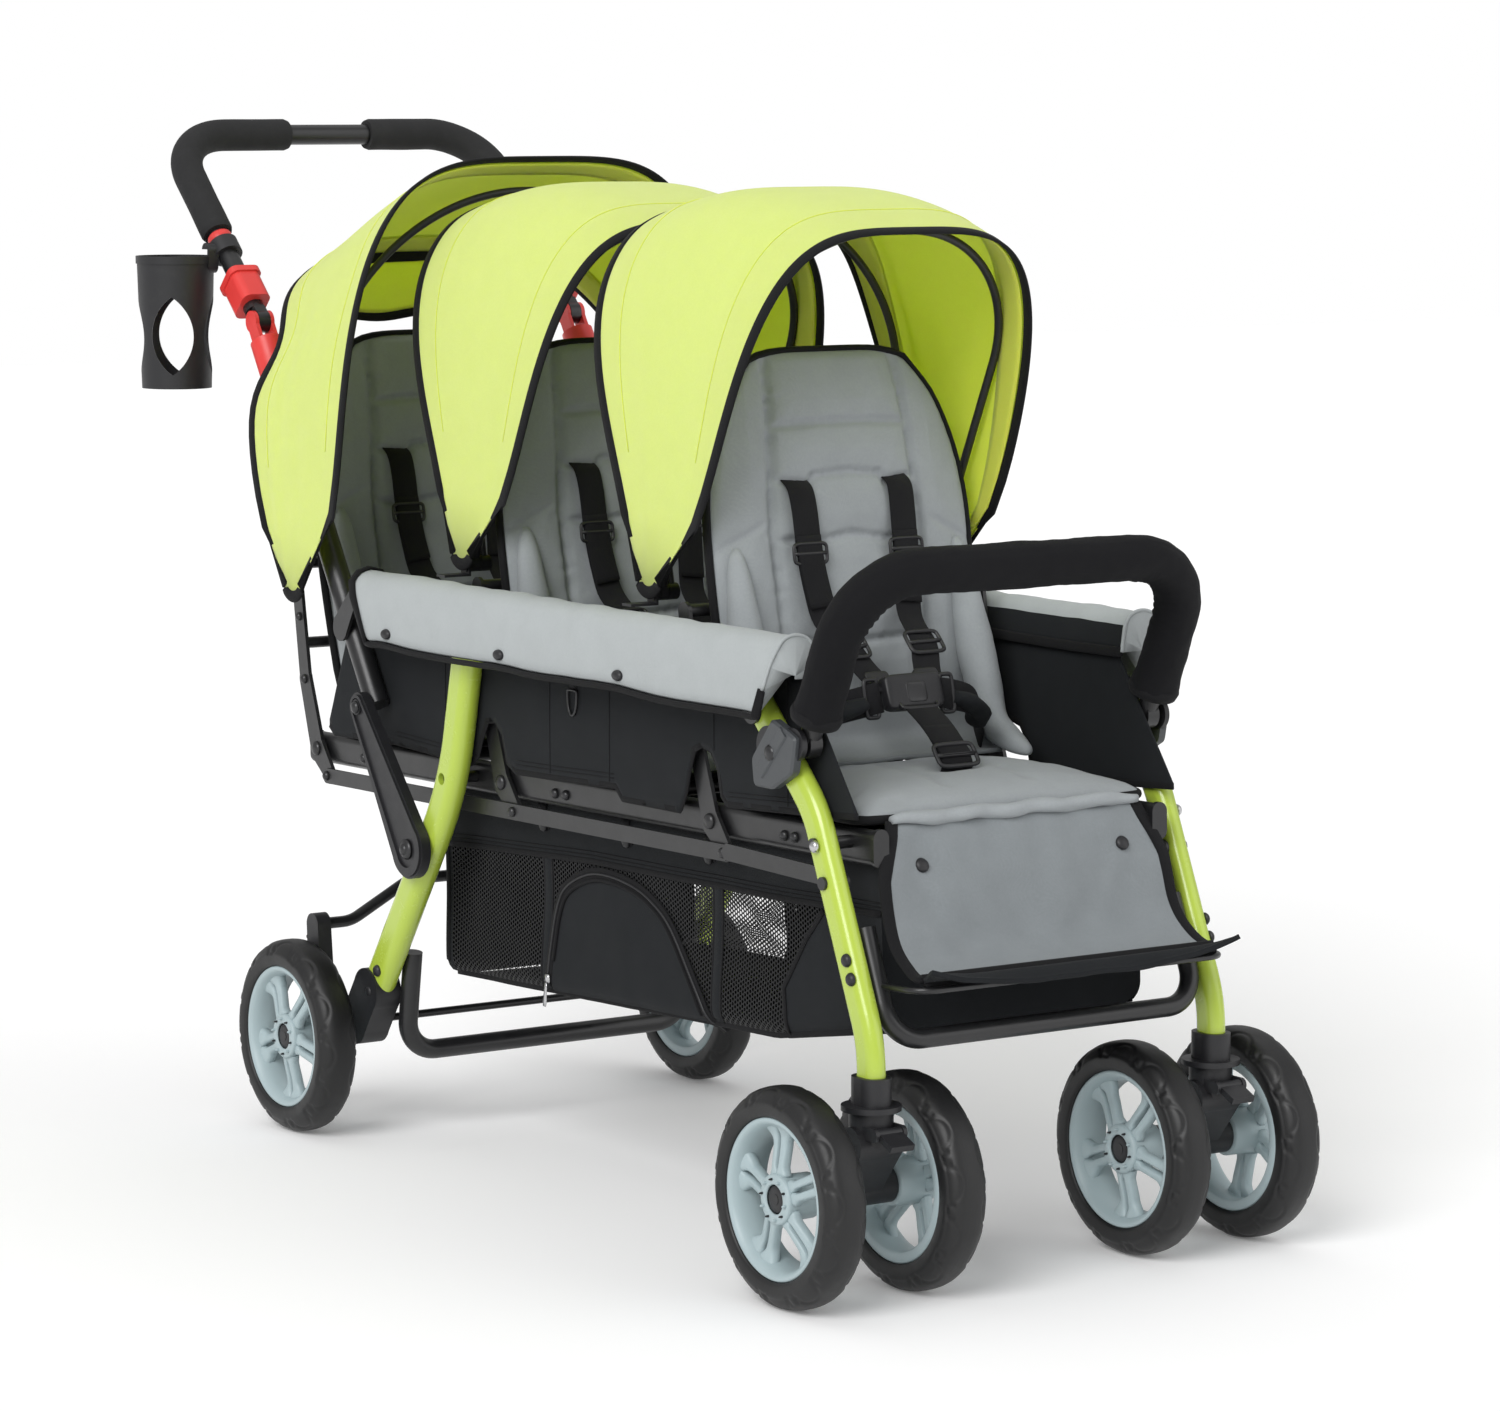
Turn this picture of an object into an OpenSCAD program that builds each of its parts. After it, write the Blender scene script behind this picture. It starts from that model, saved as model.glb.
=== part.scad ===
// Tandem stroller for three children, facing -Y, standing on z = 0.
// Stations along y are measured from the front swivel axis and shifted to the middle at the end.

/* [Wheels] */
// Tyre diameter of all six wheels
wheel_d = 200; // [180:1:220]
// Tyre width
wheel_w = 44; // [38:1:48]
// Diameter of the rim's outer face
rim_d = 146; // [130:1:156]
// Distance from the front axle to the rear axle
wheelbase = 922; // [900:1:940]
// Width of the brake pedals, which sets the rear wheels out from the legs
pedal_w = 15.8; // [12:0.2:18]
// Distance between the middles of the two wheels on one caster
twin_pitch = 129; // [124:1:134]
// Distance of the front axle behind its swivel axis
trail = 33; // [26:1:36]
// Axle diameter
axle_d = 10; // [8:0.5:12]

/* [Side frame] */
// Distance of the leg tubes from the middle plane
frame_half = 192; // [190:0.5:194]
// Front leg tube, width across the stroller
front_leg_w = 20; // [18:0.5:21]
// Front leg tube, depth along the stroller
front_leg_t = 30; // [26:0.5:32]
// Rear leg tube, width across the stroller
rear_leg_w = 24; // [22:0.5:24]
// Rear leg tube, depth along the stroller
rear_leg_t = 38; // [34:0.5:40]
// Height of the armrest tubes
armrest_z = 562; // [552:1:572]
// Armrest tube diameter
armrest_d = 22; // [20:0.5:24]
// Distance of the seat rails from the middle plane
rail_half = 157; // [154:0.5:158]
// Seat rail width
rail_w = 14; // [12:0.5:15]
// Seat rail height
rail_h = 32; // [28:0.5:34]
// Height of the seat rails at the front end
rail_front_z = 402; // [398:1:406]
// Drop of the seat rails from front to rear
rail_drop = 18; // [12:1:22]

/* [Handle] */
// Height of the handle's fold pins
knuckle_z = 830; // [815:1:845]
// Length of the handle from its fold pins to the crossbar
handle_reach = 278; // [255:1:300]
// Handle tube diameter
handle_d = 22; // [20:0.5:22]
// Foam grip diameter
grip_d = 35; // [31:0.5:40]
// Bare stretch of crossbar between the grips
grip_gap = 100; // [60:1:140]
// Lower pole diameter
pole_d = 25; // [23:0.5:25]
// Travel of each red latch up its pole
latch_travel = 22; // [15:1:30]

/* [Seats] */
// Distance from one seat to the next
seat_pitch = 376; // [370:1:380]
// Thickness of the seat pads at the crown
pad_t = 36; // [28:1:42]
// Length of each seat pad
pad_l = 226; // [210:1:230]
// Height of the backs above their pivots
back_h = 438; // [420:1:450]
// Thickness of the backs at the crown
back_t = 34; // [28:1:38]
// Half width of the backs at the widest
back_half = 152; // [148:1:154]

/* [Canopies] */
// Half width of the canopies
canopy_half = 171; // [170:0.5:174]
// Height of the front and middle canopies above their clips
canopy_rise = 378; // [360:1:390]
// Thickness of the canopy cloth with its lining
canopy_cloth = 2.4; // [1.6:0.1:3]
// Bow rod diameter
bow_d = 8; // [6:0.5:8]

/* [Basket and panels] */
// Basket depth below the rails at the rear
basket_drop = 196; // [180:1:205]
// Thickness of the cloth panels
cloth = 2; // [1.5:0.1:2.4]

/* [Hidden] */
$fn = 48;

// Clearances and the overrun of every cut
seat_gap = 0.3;
run_gap = 0.05;
cut_over = 4;
bend_lap = 0.6;

// Colours
lime = "#b7d433";
black = "#232427";
red = "#d8433a";
grey = "#8f9094";
rim_grey = "#8ea3ad";

// Wheel details
tyre_corner = 11;
rim_lip = 7;
rim_dish = 6;
hub_r = 21;
hub_cap_r = 16;
hub_cap_t = 5;
spoke_pairs = 5;
spoke_w = 9;
spoke_t = 10;
spoke_fan = 13;
axle_r = axle_d / 2;
rear_axle_y = trail + wheelbase;
wheel_z = wheel_d / 2;

// Front leg path: straight and bend stations from the bottom
leg_end_z = 186;
leg_foot_run = 24;
leg_knee_turn = 23.5;
leg_knee_r = 120;
leg_shin_run = 171;
leg_shoulder_turn = 22;
leg_shoulder_r = 100;
leg_top_run = 126;

// Where the front leg lies: foot of each stretch in y and z
leg_shin = after_turn([0, leg_end_z + leg_foot_run], 0, leg_knee_turn, leg_knee_r);
leg_shoulder = ahead(leg_shin, leg_knee_turn, leg_shin_run);
leg_lean = leg_knee_turn + leg_shoulder_turn;
leg_arm = after_turn(leg_shoulder, leg_knee_turn, leg_shoulder_turn, leg_shoulder_r);
leg_top = ahead(leg_arm, leg_lean, leg_top_run);

// Seat rails
rail_front_y = 40;
rail_tail = 20;
seat_pivot_y = 290;
rail_l = seat_pivot_y + 2 * seat_pitch + rail_tail - rail_front_y;
rail_tilt = asin(rail_drop / rail_l);
rail_cap_t = 5;
rail_cap_rim = 1.5;
cross_tube_d = 18;

// Rear leg path, from the foot up
rear_pivot_y = 727;
rear_pivot_z = rail_z(rear_pivot_y);
rear_pin_r = 6;
rear_leg_lean = -34.5;
rear_leg_run = 262;
rear_leg_turn = 22;
rear_leg_bend_r = 300;
rear_leg_head_run = 96;
rear_leg_foot = [905, 118];

// Handle poles and the fold linkage
knuckle_y = 1118;
pole_lean = 32.5;
handle_lean = 46;
pole_pivot_drop = 362;
pole_end_drop = 453;
pole_pin_r = 5;
knuckle_pin_r = 4;
handle_corner_r = 65;
pole_pivot = along_pole(-pole_pivot_drop);
pole_end = along_pole(-pole_end_drop);
link_foot = [776, 314];
link_disc_r = 30;
link_top_r = 15;
link_t = 10;

// Seats
pad_front_y = 52;
pad_half = 168;
back_lean = 8.5;

// Canopy clips in y and z
clip_front = [395, 602];
clip_middle = [740, 602];
clip_rear_drop = 225;
clip_rear = along_pole(-clip_rear_drop);
rear_canopy_out = 55;
rear_canopy_half = canopy_half + rear_canopy_out;
rear_canopy_rise = 449;
bow_inset = 7.6;
bow_half = canopy_half - canopy_cloth - bow_d / 2 - bow_inset;
rear_bow_gap = 1;
rear_bow_half = frame_half + (pole_d + bow_d) / 2 + rear_bow_gap;

// Middle of the whole object along y
front_reach = trail - wheel_d / 2;
rear_reach = knuckle_y + handle_reach * sin(handle_lean) + grip_d / 2;
mid_y = (front_reach + rear_reach) / 2;

// Points and headings in the y-z plane; a heading is measured from up towards the rear
function ahead(p, h, d) = p + d * [sin(h), cos(h)];
function after_turn(p, h, t, r) =
    p + r * sin(abs(t)) * [sin(h), cos(h)] + sign(t) * r * (1 - cos(t)) * [cos(h), -sin(h)];
function along_pole(d) = ahead([knuckle_y, knuckle_z], pole_lean, d);
function rail_z(y) = rail_front_z - (y - rail_front_y) * tan(rail_tilt);
function seat_pivot(i) = [seat_pivot_y + i * seat_pitch, rail_z(seat_pivot_y + i * seat_pitch)];
function mix(a, b, t) = a + (b - a) * t;

// Puts a piece at its station and moves it to the middle of the object
module at(p, x = 0) {
    translate([x, p[0] - mid_y, p[1]]) children();
}

module both_sides() {
    children();
    mirror([1, 0, 0]) children();
}

// A flat profile in y and z, extruded across x
module across(x0, t) {
    translate([x0, 0, 0]) rotate([90, 0, 90]) linear_extrude(t) children();
}

module pin_x(r, x0, l) {
    translate([x0, 0, 0]) rotate([0, 90, 0]) cylinder(r = r, h = l);
}

// Oval profile: w across the stroller, t along it
module oval(w, t) {
    square([w, t - w], center = true);
    for (s = [-1, 1]) translate([0, s * (t - w) / 2]) circle(d = w);
}

module round_rect(w, h, r) {
    square([w - 2 * r, h], center = true);
    square([w, h - 2 * r], center = true);
    for (sx = [-1, 1], sy = [-1, 1]) translate([sx * (w / 2 - r), sy * (h / 2 - r)]) circle(r);
}

// Stadium between two points in a plane; its sides lie a hair inside the end circles, so that they cross
strap_share = 0.985;
module strap(a, b, r0, r1) {
    d = b - a;
    l = norm(d);
    k = (r0 - r1) / l;
    c = sqrt(1 - k * k) * strap_share;
    translate(a) rotate(atan2(d[1], d[0])) {
        circle(r0);
        translate([l, 0]) circle(r1);
        polygon([[r0 * k, r0 * c], [l + r1 * k, r1 * c], [l + r1 * k, -r1 * c], [r0 * k, -r0 * c]]);
    }
}

// One bend of a tube from heading up, towards +y for a positive turn
module tube_bend(turn, r) {
    s = sign(turn);
    translate([0, s * r, 0])
        multmatrix([[0, 0, -s, 0], [-s, 0, 0, 0], [0, 1, 0, 0], [0, 0, 0, 1]])
            rotate_extrude(angle = abs(turn)) translate([r, 0]) rotate(90) children();
}

// A tube made of straight runs and bends, each step [run, turn, bend radius]
// With a lap the straights run into the bends, a hair larger, so that the stretches fuse
lap_share = 1.003;
module tube_path(steps, lap = 0, i = 0) {
    s = steps[i];
    lead = i > 0 ? lap : 0;
    tail = s[1] != 0 ? lap : 0;
    translate([0, 0, -lead]) linear_extrude(s[0] + lead + tail)
        scale(lap > 0 ? lap_share : 1) children();
    translate([0, 0, s[0]])
        if (s[1] != 0) {
            tube_bend(s[1], s[2]) children();
            if (i + 1 < len(steps))
                translate([0, sign(s[1]) * s[2] * (1 - cos(s[1])), s[2] * sin(abs(s[1]))])
                    rotate([-s[1], 0, 0]) tube_path(steps, lap, i + 1) children();
        }
}

// A round U in the x-z plane: open ends at z = 0, crossbar at z = h
module u_tube(half, h, r) {
    for (s = [-1, 1]) translate([s * half, 0, 0]) rotate([0, 0, s * 90])
        tube_path([[h - r, 90, r], [half - r, 0, 0]]) children();
}

// A closed solid between two matching grids of points
module sheet(under, over) {
    rows = len(under);
    cols = len(under[0]);
    n = rows * cols;
    function id(i, j) = i * cols + j;
    function quad(a, b, c, d) = [[a, b, c], [a, c, d]];
    polyhedron(
        points = concat([for (r = under) each r], [for (r = over) each r]),
        faces = concat(
            [for (i = [0:rows - 2], j = [0:cols - 2])
                each quad(id(i, j), id(i, j + 1), id(i + 1, j + 1), id(i + 1, j))],
            [for (i = [0:rows - 2], j = [0:cols - 2])
                each quad(n + id(i, j), n + id(i + 1, j), n + id(i + 1, j + 1), n + id(i, j + 1))],
            [for (j = [0:cols - 2])
                each quad(id(0, j + 1), id(0, j), n + id(0, j), n + id(0, j + 1))],
            [for (j = [0:cols - 2])
                each quad(id(rows - 1, j), id(rows - 1, j + 1), n + id(rows - 1, j + 1), n + id(rows - 1, j))],
            [for (i = [0:rows - 2])
                each quad(id(i, 0), id(i + 1, 0), n + id(i + 1, 0), n + id(i, 0))],
            [for (i = [0:rows - 2])
                each quad(id(i + 1, cols - 1), id(i, cols - 1), n + id(i, cols - 1), n + id(i + 1, cols - 1))]));
}

// Front legs: bent oval tubes from the caster sockets to the armrests
module front_legs() color(lime)
    both_sides() at([0, leg_end_z], frame_half)
        tube_path([[leg_foot_run, leg_knee_turn, leg_knee_r],
            [leg_shin_run, leg_shoulder_turn, leg_shoulder_r], [leg_top_run, 0, 0]], bend_lap)
            oval(front_leg_w, front_leg_t);

// Caster sockets: flanged plastic cups on the leg ends, bored for the swivel pins
socket_wall = 5;
socket_floor = 9;
socket_h = 30;
socket_flange_h = 5;
socket_flange_r = 27;
swivel_pin_r = 8;
socket_z = leg_end_z - socket_floor;
module caster_sockets() color(black)
    both_sides() at([0, socket_z], frame_half) difference() {
        union() {
            linear_extrude(socket_h) oval(front_leg_w + 2 * socket_wall, front_leg_t + 2 * socket_wall);
            cylinder(r = socket_flange_r, h = socket_flange_h);
        }
        translate([0, 0, socket_floor]) linear_extrude(socket_h)
            oval(front_leg_w + 2 * run_gap, front_leg_t + 2 * run_gap);
        translate([0, 0, -cut_over]) cylinder(r = swivel_pin_r + run_gap, h = socket_floor + 2 * cut_over);
    }

// Seat rails: flat-oval tubes with cross tubes and the pivot pins they carry
seat_pin_r = 5;
cross_tube_ahead = 128;
rail_out = rail_half + rail_w / 2;
hinge_plate_t = 4;
hinge_plate_gap = 3.5;
hinge_plate_x = rail_out + hinge_plate_gap;
module seat_rails() color(black) {
    both_sides() {
        at([rail_front_y, rail_front_z], rail_half) rotate([-90 - rail_tilt, 0, 0])
            linear_extrude(rail_l) oval(rail_w, rail_h);
        at([rear_pivot_y, rear_pivot_z])
            pin_x(rear_pin_r, rail_half, frame_half + rear_leg_w / 4 - rail_half);
        for (i = [0:2]) at(seat_pivot(i))
            pin_x(seat_pin_r, rail_half, hinge_plate_x + hinge_plate_t - rail_half);
    }
    for (i = [0:2]) at(seat_pivot(i) - [cross_tube_ahead, 0])
        pin_x(cross_tube_d / 2, -rail_half, 2 * rail_half);
}

// Rail fittings: end caps, the rivets into the front legs and the tie straps
rivet_r = 6;
rivet_head = 3;
tie_strap_r = 8;
tie_strap_t = 3;
tie_strap_drop = 36;
tie_strap_rise = 3;
tie_strap_l = 186;
leg_rail_z = 405;
leg_rail = ahead(leg_shin, leg_knee_turn, (leg_rail_z - leg_shin[1]) / cos(leg_knee_turn));
tie_strap_foot = ahead(leg_rail, leg_knee_turn, -tie_strap_drop);
module rail_fittings() color(black) both_sides() {
    leg_in = frame_half - front_leg_w / 2;
    leg_out = frame_half + front_leg_w / 2;
    for (e = [-rail_cap_t - run_gap, rail_l + run_gap])
        at([rail_front_y, rail_front_z], rail_half) rotate([-90 - rail_tilt, 0, 0]) translate([0, 0, e])
            linear_extrude(rail_cap_t) oval(rail_w + 2 * rail_cap_rim, rail_h + 2 * rail_cap_rim);
    at(leg_rail) {
        pin_x(rivet_r, rail_out + run_gap, leg_in - rail_out - 2 * run_gap);
        pin_x(rivet_r, leg_out + run_gap, rivet_head);
    }
    strap_x = leg_in - tie_strap_t - run_gap;
    translate([0, -mid_y, 0]) across(strap_x, tie_strap_t)
        strap(tie_strap_foot, tie_strap_foot + [tie_strap_l, tie_strap_rise], tie_strap_r, tie_strap_r);
    at(tie_strap_foot) pin_x(rivet_r, leg_out + run_gap, rivet_head);
}

// Armrest tubes with the plates that hold the legs and the handle poles
armrest_front_y = 118;
armrest_rear_y = 905;
plate_t = 3.6;
plate_r = 13;
saddle_r = 8;
saddle_pin_r = 7;
pole_plate_r = 14;
plug_l = 22;
rear_guide_y = 690;
rear_guide_drop = 34;
module armrest_tubes() color(black) both_sides() {
    pole_side = pole_d / 2 + seat_gap;
    at([armrest_rear_y, armrest_z], frame_half) rotate([90, 0, 0])
        cylinder(d = armrest_d, h = armrest_rear_y - armrest_front_y);
    front_x = frame_half + front_leg_w / 2 + seat_gap;
    front_seat = ahead(leg_top, leg_lean, -2 * plate_r);
    front_hold = [leg_top[0], armrest_z];
    translate([0, -mid_y, 0]) across(front_x, plate_t) strap(front_seat, front_hold, plate_r, saddle_r);
    at(front_hold) pin_x(saddle_pin_r, frame_half, front_x + plate_t / 2 - frame_half);
    guide_x = frame_half + rear_leg_w / 2 + seat_gap;
    guide_top = [rear_guide_y, armrest_z];
    translate([0, -mid_y, 0]) across(guide_x, plate_t)
        strap(guide_top - [0, rear_guide_drop], guide_top, plate_r, saddle_r);
    at(guide_top) pin_x(saddle_pin_r, frame_half, guide_x + plate_t / 2 - frame_half);
    plug_top = [armrest_rear_y - plug_l / 2, armrest_z];
    for (x = [frame_half - pole_side - plate_t, frame_half + pole_side])
        translate([0, -mid_y, 0]) across(x, plate_t) strap(pole_pivot, plug_top, pole_plate_r, saddle_r);
    at(plug_top) pin_x(saddle_pin_r, frame_half - pole_side - plate_t / 2, 2 * pole_side + plate_t);
    at(pole_pivot) pin_x(pole_pin_r, frame_half - pole_side - plate_t / 2, 2 * pole_side + plate_t);
}

// Armrest covers: padded cloth folded over the tubes, open below
cover_front_y = 112;
cover_rear_y = 884;
cover_in = 20.2;
cover_out = 30.3;
cover_wall = 3;
cover_rise = 28;
cover_slack = 1.6;
cover_pad = cover_rise - armrest_d / 2 - cover_slack;
cover_top_z = armrest_z + cover_rise;
cover_out_z = 512;
cover_in_z = 545;
cover_end = 4;
module cover_profile(inset, pad) {
    w = cover_in + cover_out - 2 * inset;
    r = w / 2;
    translate([(cover_out - cover_in) / 2, cover_top_z - pad - r]) circle(r);
    translate([inset - cover_in, cover_out_z - inset * cut_over])
        square([w, cover_top_z - pad - r - cover_out_z + inset * cut_over]);
}
module armrest_covers() color(grey) both_sides()
    difference() {
        at([cover_rear_y, 0], frame_half) rotate([90, 0, 0])
            linear_extrude(cover_rear_y - cover_front_y) cover_profile(0, 0);
        at([cover_rear_y + cut_over, 0], frame_half) rotate([90, 0, 0])
            linear_extrude(cover_rear_y - cover_front_y - cover_end + cut_over)
                cover_profile(cover_wall, cover_pad);
        at([cover_rear_y + cut_over, 0], frame_half) rotate([90, 0, 0])
            linear_extrude(cover_rear_y - cover_front_y + 2 * cut_over)
                translate([-cover_in - cut_over, cover_out_z - cut_over])
                    square([cover_wall + 2 * cut_over, cover_in_z - cover_out_z + cut_over]);
        at([cover_front_y - cut_over, cover_out_z - cut_over], frame_half + cover_wall - cover_in)
            cube([cover_in + cover_out - 2 * cover_wall, cover_end + 2 * cut_over,
                cover_in_z - cover_out_z + cut_over]);
        translate([0, -mid_y, 0]) across(frame_half - cover_in - cut_over, cover_in + cover_out + 2 * cut_over)
            polygon([[cover_front_y - cut_over, cover_out_z - cut_over], [cover_front_y - cut_over, cover_in_z],
                [cover_front_y + cover_in, cover_in_z - cover_in], [cover_front_y + 2 * cover_in, cover_out_z],
                [cover_front_y + 2 * cover_in, cover_out_z - cut_over]]);
    }

// Canopy bows: each front bow turns on its clip pins, each rear bow is fixed in the clips
clip_pin_r = 4;
clip_eye_r = 8;
clip_t = 2.4;
clip_hook = 23.6;
clip_w = 16;
bow_corner_r = 144;
bow_lane = 3.5;
bow_fixed_half = bow_half - bow_d - bow_lane;
bow_fixed_lean = 12;
bow_fixed_under = 13;
bow_fixed_reach = canopy_rise - bow_fixed_under;
bow_front_lean = 25;
bow_front_under = 3;
bow_front_reach = canopy_rise - bow_front_under;
bow_rear_lean = 18;
rear_bow_under = 104;
bow_rear_reach = rear_canopy_rise - rear_bow_under;
rear_bow_corner_r = 205;
eye_over = 1;
eye_l = bow_d + eye_over;
eye_in = bow_half - eye_l / 2;
cover_in_x = frame_half - cover_in;
clip_out = canopy_half - canopy_cloth - seat_gap;
clip_disc_lap = 1;
clip_disc_in = bow_fixed_half - bow_d / 2 - clip_disc_lap;
clip_disc_out = bow_fixed_half + bow_d / 2 + clip_t;
clip_hook_x = clip_out - clip_t - clip_disc_lap;
module canopy_clip_set(clip) {
    both_sides() {
        at(clip) pin_x(clip_pin_r, clip_disc_out - clip_t, clip_out - clip_disc_out + clip_t);
        at(clip) pin_x(clip_eye_r, eye_in + eye_l + seat_gap, clip_out - seat_gap - eye_in - eye_l);
        at([clip[0] - clip_w / 2, cover_top_z + seat_gap], clip_hook_x) {
            cube([cover_in_x + clip_hook - clip_hook_x, clip_w, clip_t]);
            cube([clip_t, clip_w, clip[1] - cover_top_z - clip_t]);
        }
        at(clip) pin_x(clip_eye_r, clip_disc_in, clip_disc_out - clip_disc_in);
    }
    at(clip) rotate([-bow_fixed_lean, 0, 0]) u_tube(bow_fixed_half, bow_fixed_reach, bow_corner_r)
        circle(d = bow_d);
}
module canopy_fixed_bows() color(black) {
    canopy_clip_set(clip_front);
    canopy_clip_set(clip_middle);
}
module moving_bow(clip, lean, reach, half, corner) color(black) at(clip) difference() {
    union() {
        rotate([-lean, 0, 0]) u_tube(half, reach, corner) circle(d = bow_d);
        both_sides() pin_x(clip_eye_r, half - eye_l / 2, eye_l);
    }
    pin_x(clip_pin_r + run_gap, -half - bow_d, 2 * (half + bow_d));
}
module canopy_bow_front()
    moving_bow(clip_front, -bow_front_lean, bow_front_reach, bow_half, bow_corner_r);
module canopy_bow_middle()
    moving_bow(clip_middle, -bow_front_lean, bow_front_reach, bow_half, bow_corner_r);
module canopy_bow_rear()
    moving_bow(clip_rear, -bow_rear_lean, bow_rear_reach, rear_bow_half, rear_bow_corner_r);

// Canopies: arched cloth that runs down to a rounded tip at each clip
canopy_rows = 8;
canopy_cols = 24;
canopy_round = 3.8;
canopy_tip_half = 16;
canopy_front_power = 2.6;
canopy_back_power = 4;
canopy_arc = 180;
front_canopy_tip = [395, 602];
middle_canopy_tip = [740, 602];
rear_canopy_tip = [990, 552];
// Heights of the front edge, the middle and the back edge, as shares of the rise
canopy_shares = [0.9, 1, 0.94];
rear_canopy_shares = [1, 0.9, 0.78];
canopy_ahead = 173;
canopy_behind = 97;
rear_canopy_ahead = 112;
rear_canopy_behind = 89;
// The rear hood's back edge is cut away round the pole catches
rear_notch = 42;
rear_notch_at = 0.74;
rear_notch_w = 0.13;
function canopy_height(rise, shares, t) =
    rise * ((1 - t) * (1 - 2 * t) * shares[0] + 4 * t * (1 - t) * shares[1] + t * (2 * t - 1) * shares[2]);
function canopy_back(back, notch, g) =
    back * (1 - pow(1 - g, canopy_back_power)) - notch * exp(-pow((g - rear_notch_at) / rear_notch_w, 2));
function canopy_point(tip, half, rise, form, a, t) =
    let (g = pow(cos(a), 2 / canopy_round), s = sign(a) * pow(abs(sin(a)), 2 / canopy_round),
        lead = canopy_tip_half + form[0] * (1 - pow(1 - g, canopy_front_power)),
        trail_edge = canopy_tip_half + canopy_back(form[1], form[2], g))
    [half * s, tip[0] - mid_y + mix(-lead, trail_edge, t), tip[1] + canopy_height(rise, form[3], t) * g];
function canopy_grid(tip, half, rise, form) =
    [for (i = [0:canopy_rows]) [for (j = [0:canopy_cols])
        canopy_point(tip, half, rise, form, canopy_arc * (j / canopy_cols - 1 / 2), i / canopy_rows)]];
module canopy(tip, half, rise, form) color(lime)
    sheet(canopy_grid(tip, half - canopy_cloth, rise - canopy_cloth, form), canopy_grid(tip, half, rise, form));
module canopy_front()
    canopy(front_canopy_tip, canopy_half, canopy_rise, [canopy_ahead, canopy_behind, 0, canopy_shares]);
module canopy_middle()
    canopy(middle_canopy_tip, canopy_half, canopy_rise, [canopy_ahead, canopy_behind, 0, canopy_shares]);
module canopy_rear()
    canopy(rear_canopy_tip, rear_canopy_half, rear_canopy_rise,
        [rear_canopy_ahead, rear_canopy_behind, rear_notch, rear_canopy_shares]);

// Footrest bar: a U between the front legs, with a wire frame ahead of it
foot_bar_r = 9;
foot_bar_half = frame_half - front_leg_w / 2 - foot_bar_r - seat_gap;
foot_bar_drop = 104;
foot_bar_corner = 34;
foot_bar_top = [37, 332];
foot_bar_heading = 202;
foot_wire_r = 3;
foot_wire_reach = 64;
foot_wire_corner = 22;
foot_wire_drop = 52;
foot_wire_top = ahead(foot_bar_top, foot_bar_heading, foot_wire_drop);
foot_wire_heading = -87;
module footrest_bar() color(black) {
    at(foot_bar_top) rotate([-foot_bar_heading, 0, 0])
        u_tube(foot_bar_half, foot_bar_drop, foot_bar_corner) circle(foot_bar_r);
    at(foot_wire_top) rotate([-foot_wire_heading, 0, 0])
        u_tube(foot_bar_half, foot_wire_reach, foot_wire_corner) circle(foot_wire_r);
}

// Calf panel: padded cloth from the front seat's edge down to the footrest wire
calf_half = 172;
calf_top_half = 142;
calf_t = 9;
calf_edge_t = 3;
calf_top_up = 5;
calf_top = [pad_front_y - seat_gap - calf_edge_t / 2, pad_base(0) + calf_top_up];
calf_wire = ahead(foot_wire_top, foot_wire_heading, foot_wire_reach);
calf_foot_back = 7;
calf_foot = calf_wire + [calf_foot_back, foot_wire_r + seat_gap + calf_edge_t / 2];
calf_lip_reach = 22;
calf_lip_rise = 2;
calf_lip = calf_foot + [-calf_lip_reach, calf_lip_rise];
calf_rows = 9;
calf_cols = 10;
calf_bow = 8;
bulge_power = 4;
function bulge(u) = 1 - pow(abs(u), bulge_power);
function calf_line(t) = mix(calf_foot, calf_top, t) - [calf_bow * bulge(2 * t - 1), 0];
function calf_grid(side) = concat(
    [[for (j = [0:calf_cols]) let (u = 2 * j / calf_cols - 1)
        [calf_half * u, calf_lip[0] - mid_y, calf_lip[1] + side * calf_edge_t / 2]]],
    [for (i = [0:calf_rows]) let (t = i / calf_rows, p = calf_line(t))
        [for (j = [0:calf_cols]) let (u = 2 * j / calf_cols - 1,
            h = mix(calf_edge_t, calf_t, bulge(u) * bulge(2 * t - 1)) / 2)
            [mix(calf_half, calf_top_half, t) * u, p[0] - mid_y - side * h, p[1] + side * h]]]);
module calf_panel() color(grey) sheet(calf_grid(-1), calf_grid(1));

// Seat pads: crowned cushions on the rails, drawn in at the sides
pad_grid = 10;
pad_edge_t = 14;
pad_draw = 4;
function pad_base(i) = rail_z(pad_front_y + i * seat_pitch) + rail_h / 2 + seat_gap;
function pad_points(i, over) =
    [for (a = [0:pad_grid]) let (v = 2 * a / pad_grid - 1)
        [for (b = [0:pad_grid]) let (u = 2 * b / pad_grid - 1)
            [u * (pad_half - pad_draw * bulge(v)),
             pad_front_y + i * seat_pitch - mid_y + pad_l / 2 + v * (pad_l / 2 - pad_draw * bulge(u)),
             pad_base(i) + over * mix(pad_edge_t, pad_t, sqrt(bulge(u) * bulge(v)))]]];
module seat_pad(i) color(grey) sheet(pad_points(i, 0), pad_points(i, 1));
module seat_pad_front() seat_pad(0);
module seat_pad_middle() seat_pad(1);
module seat_pad_rear() seat_pad(2);

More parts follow.
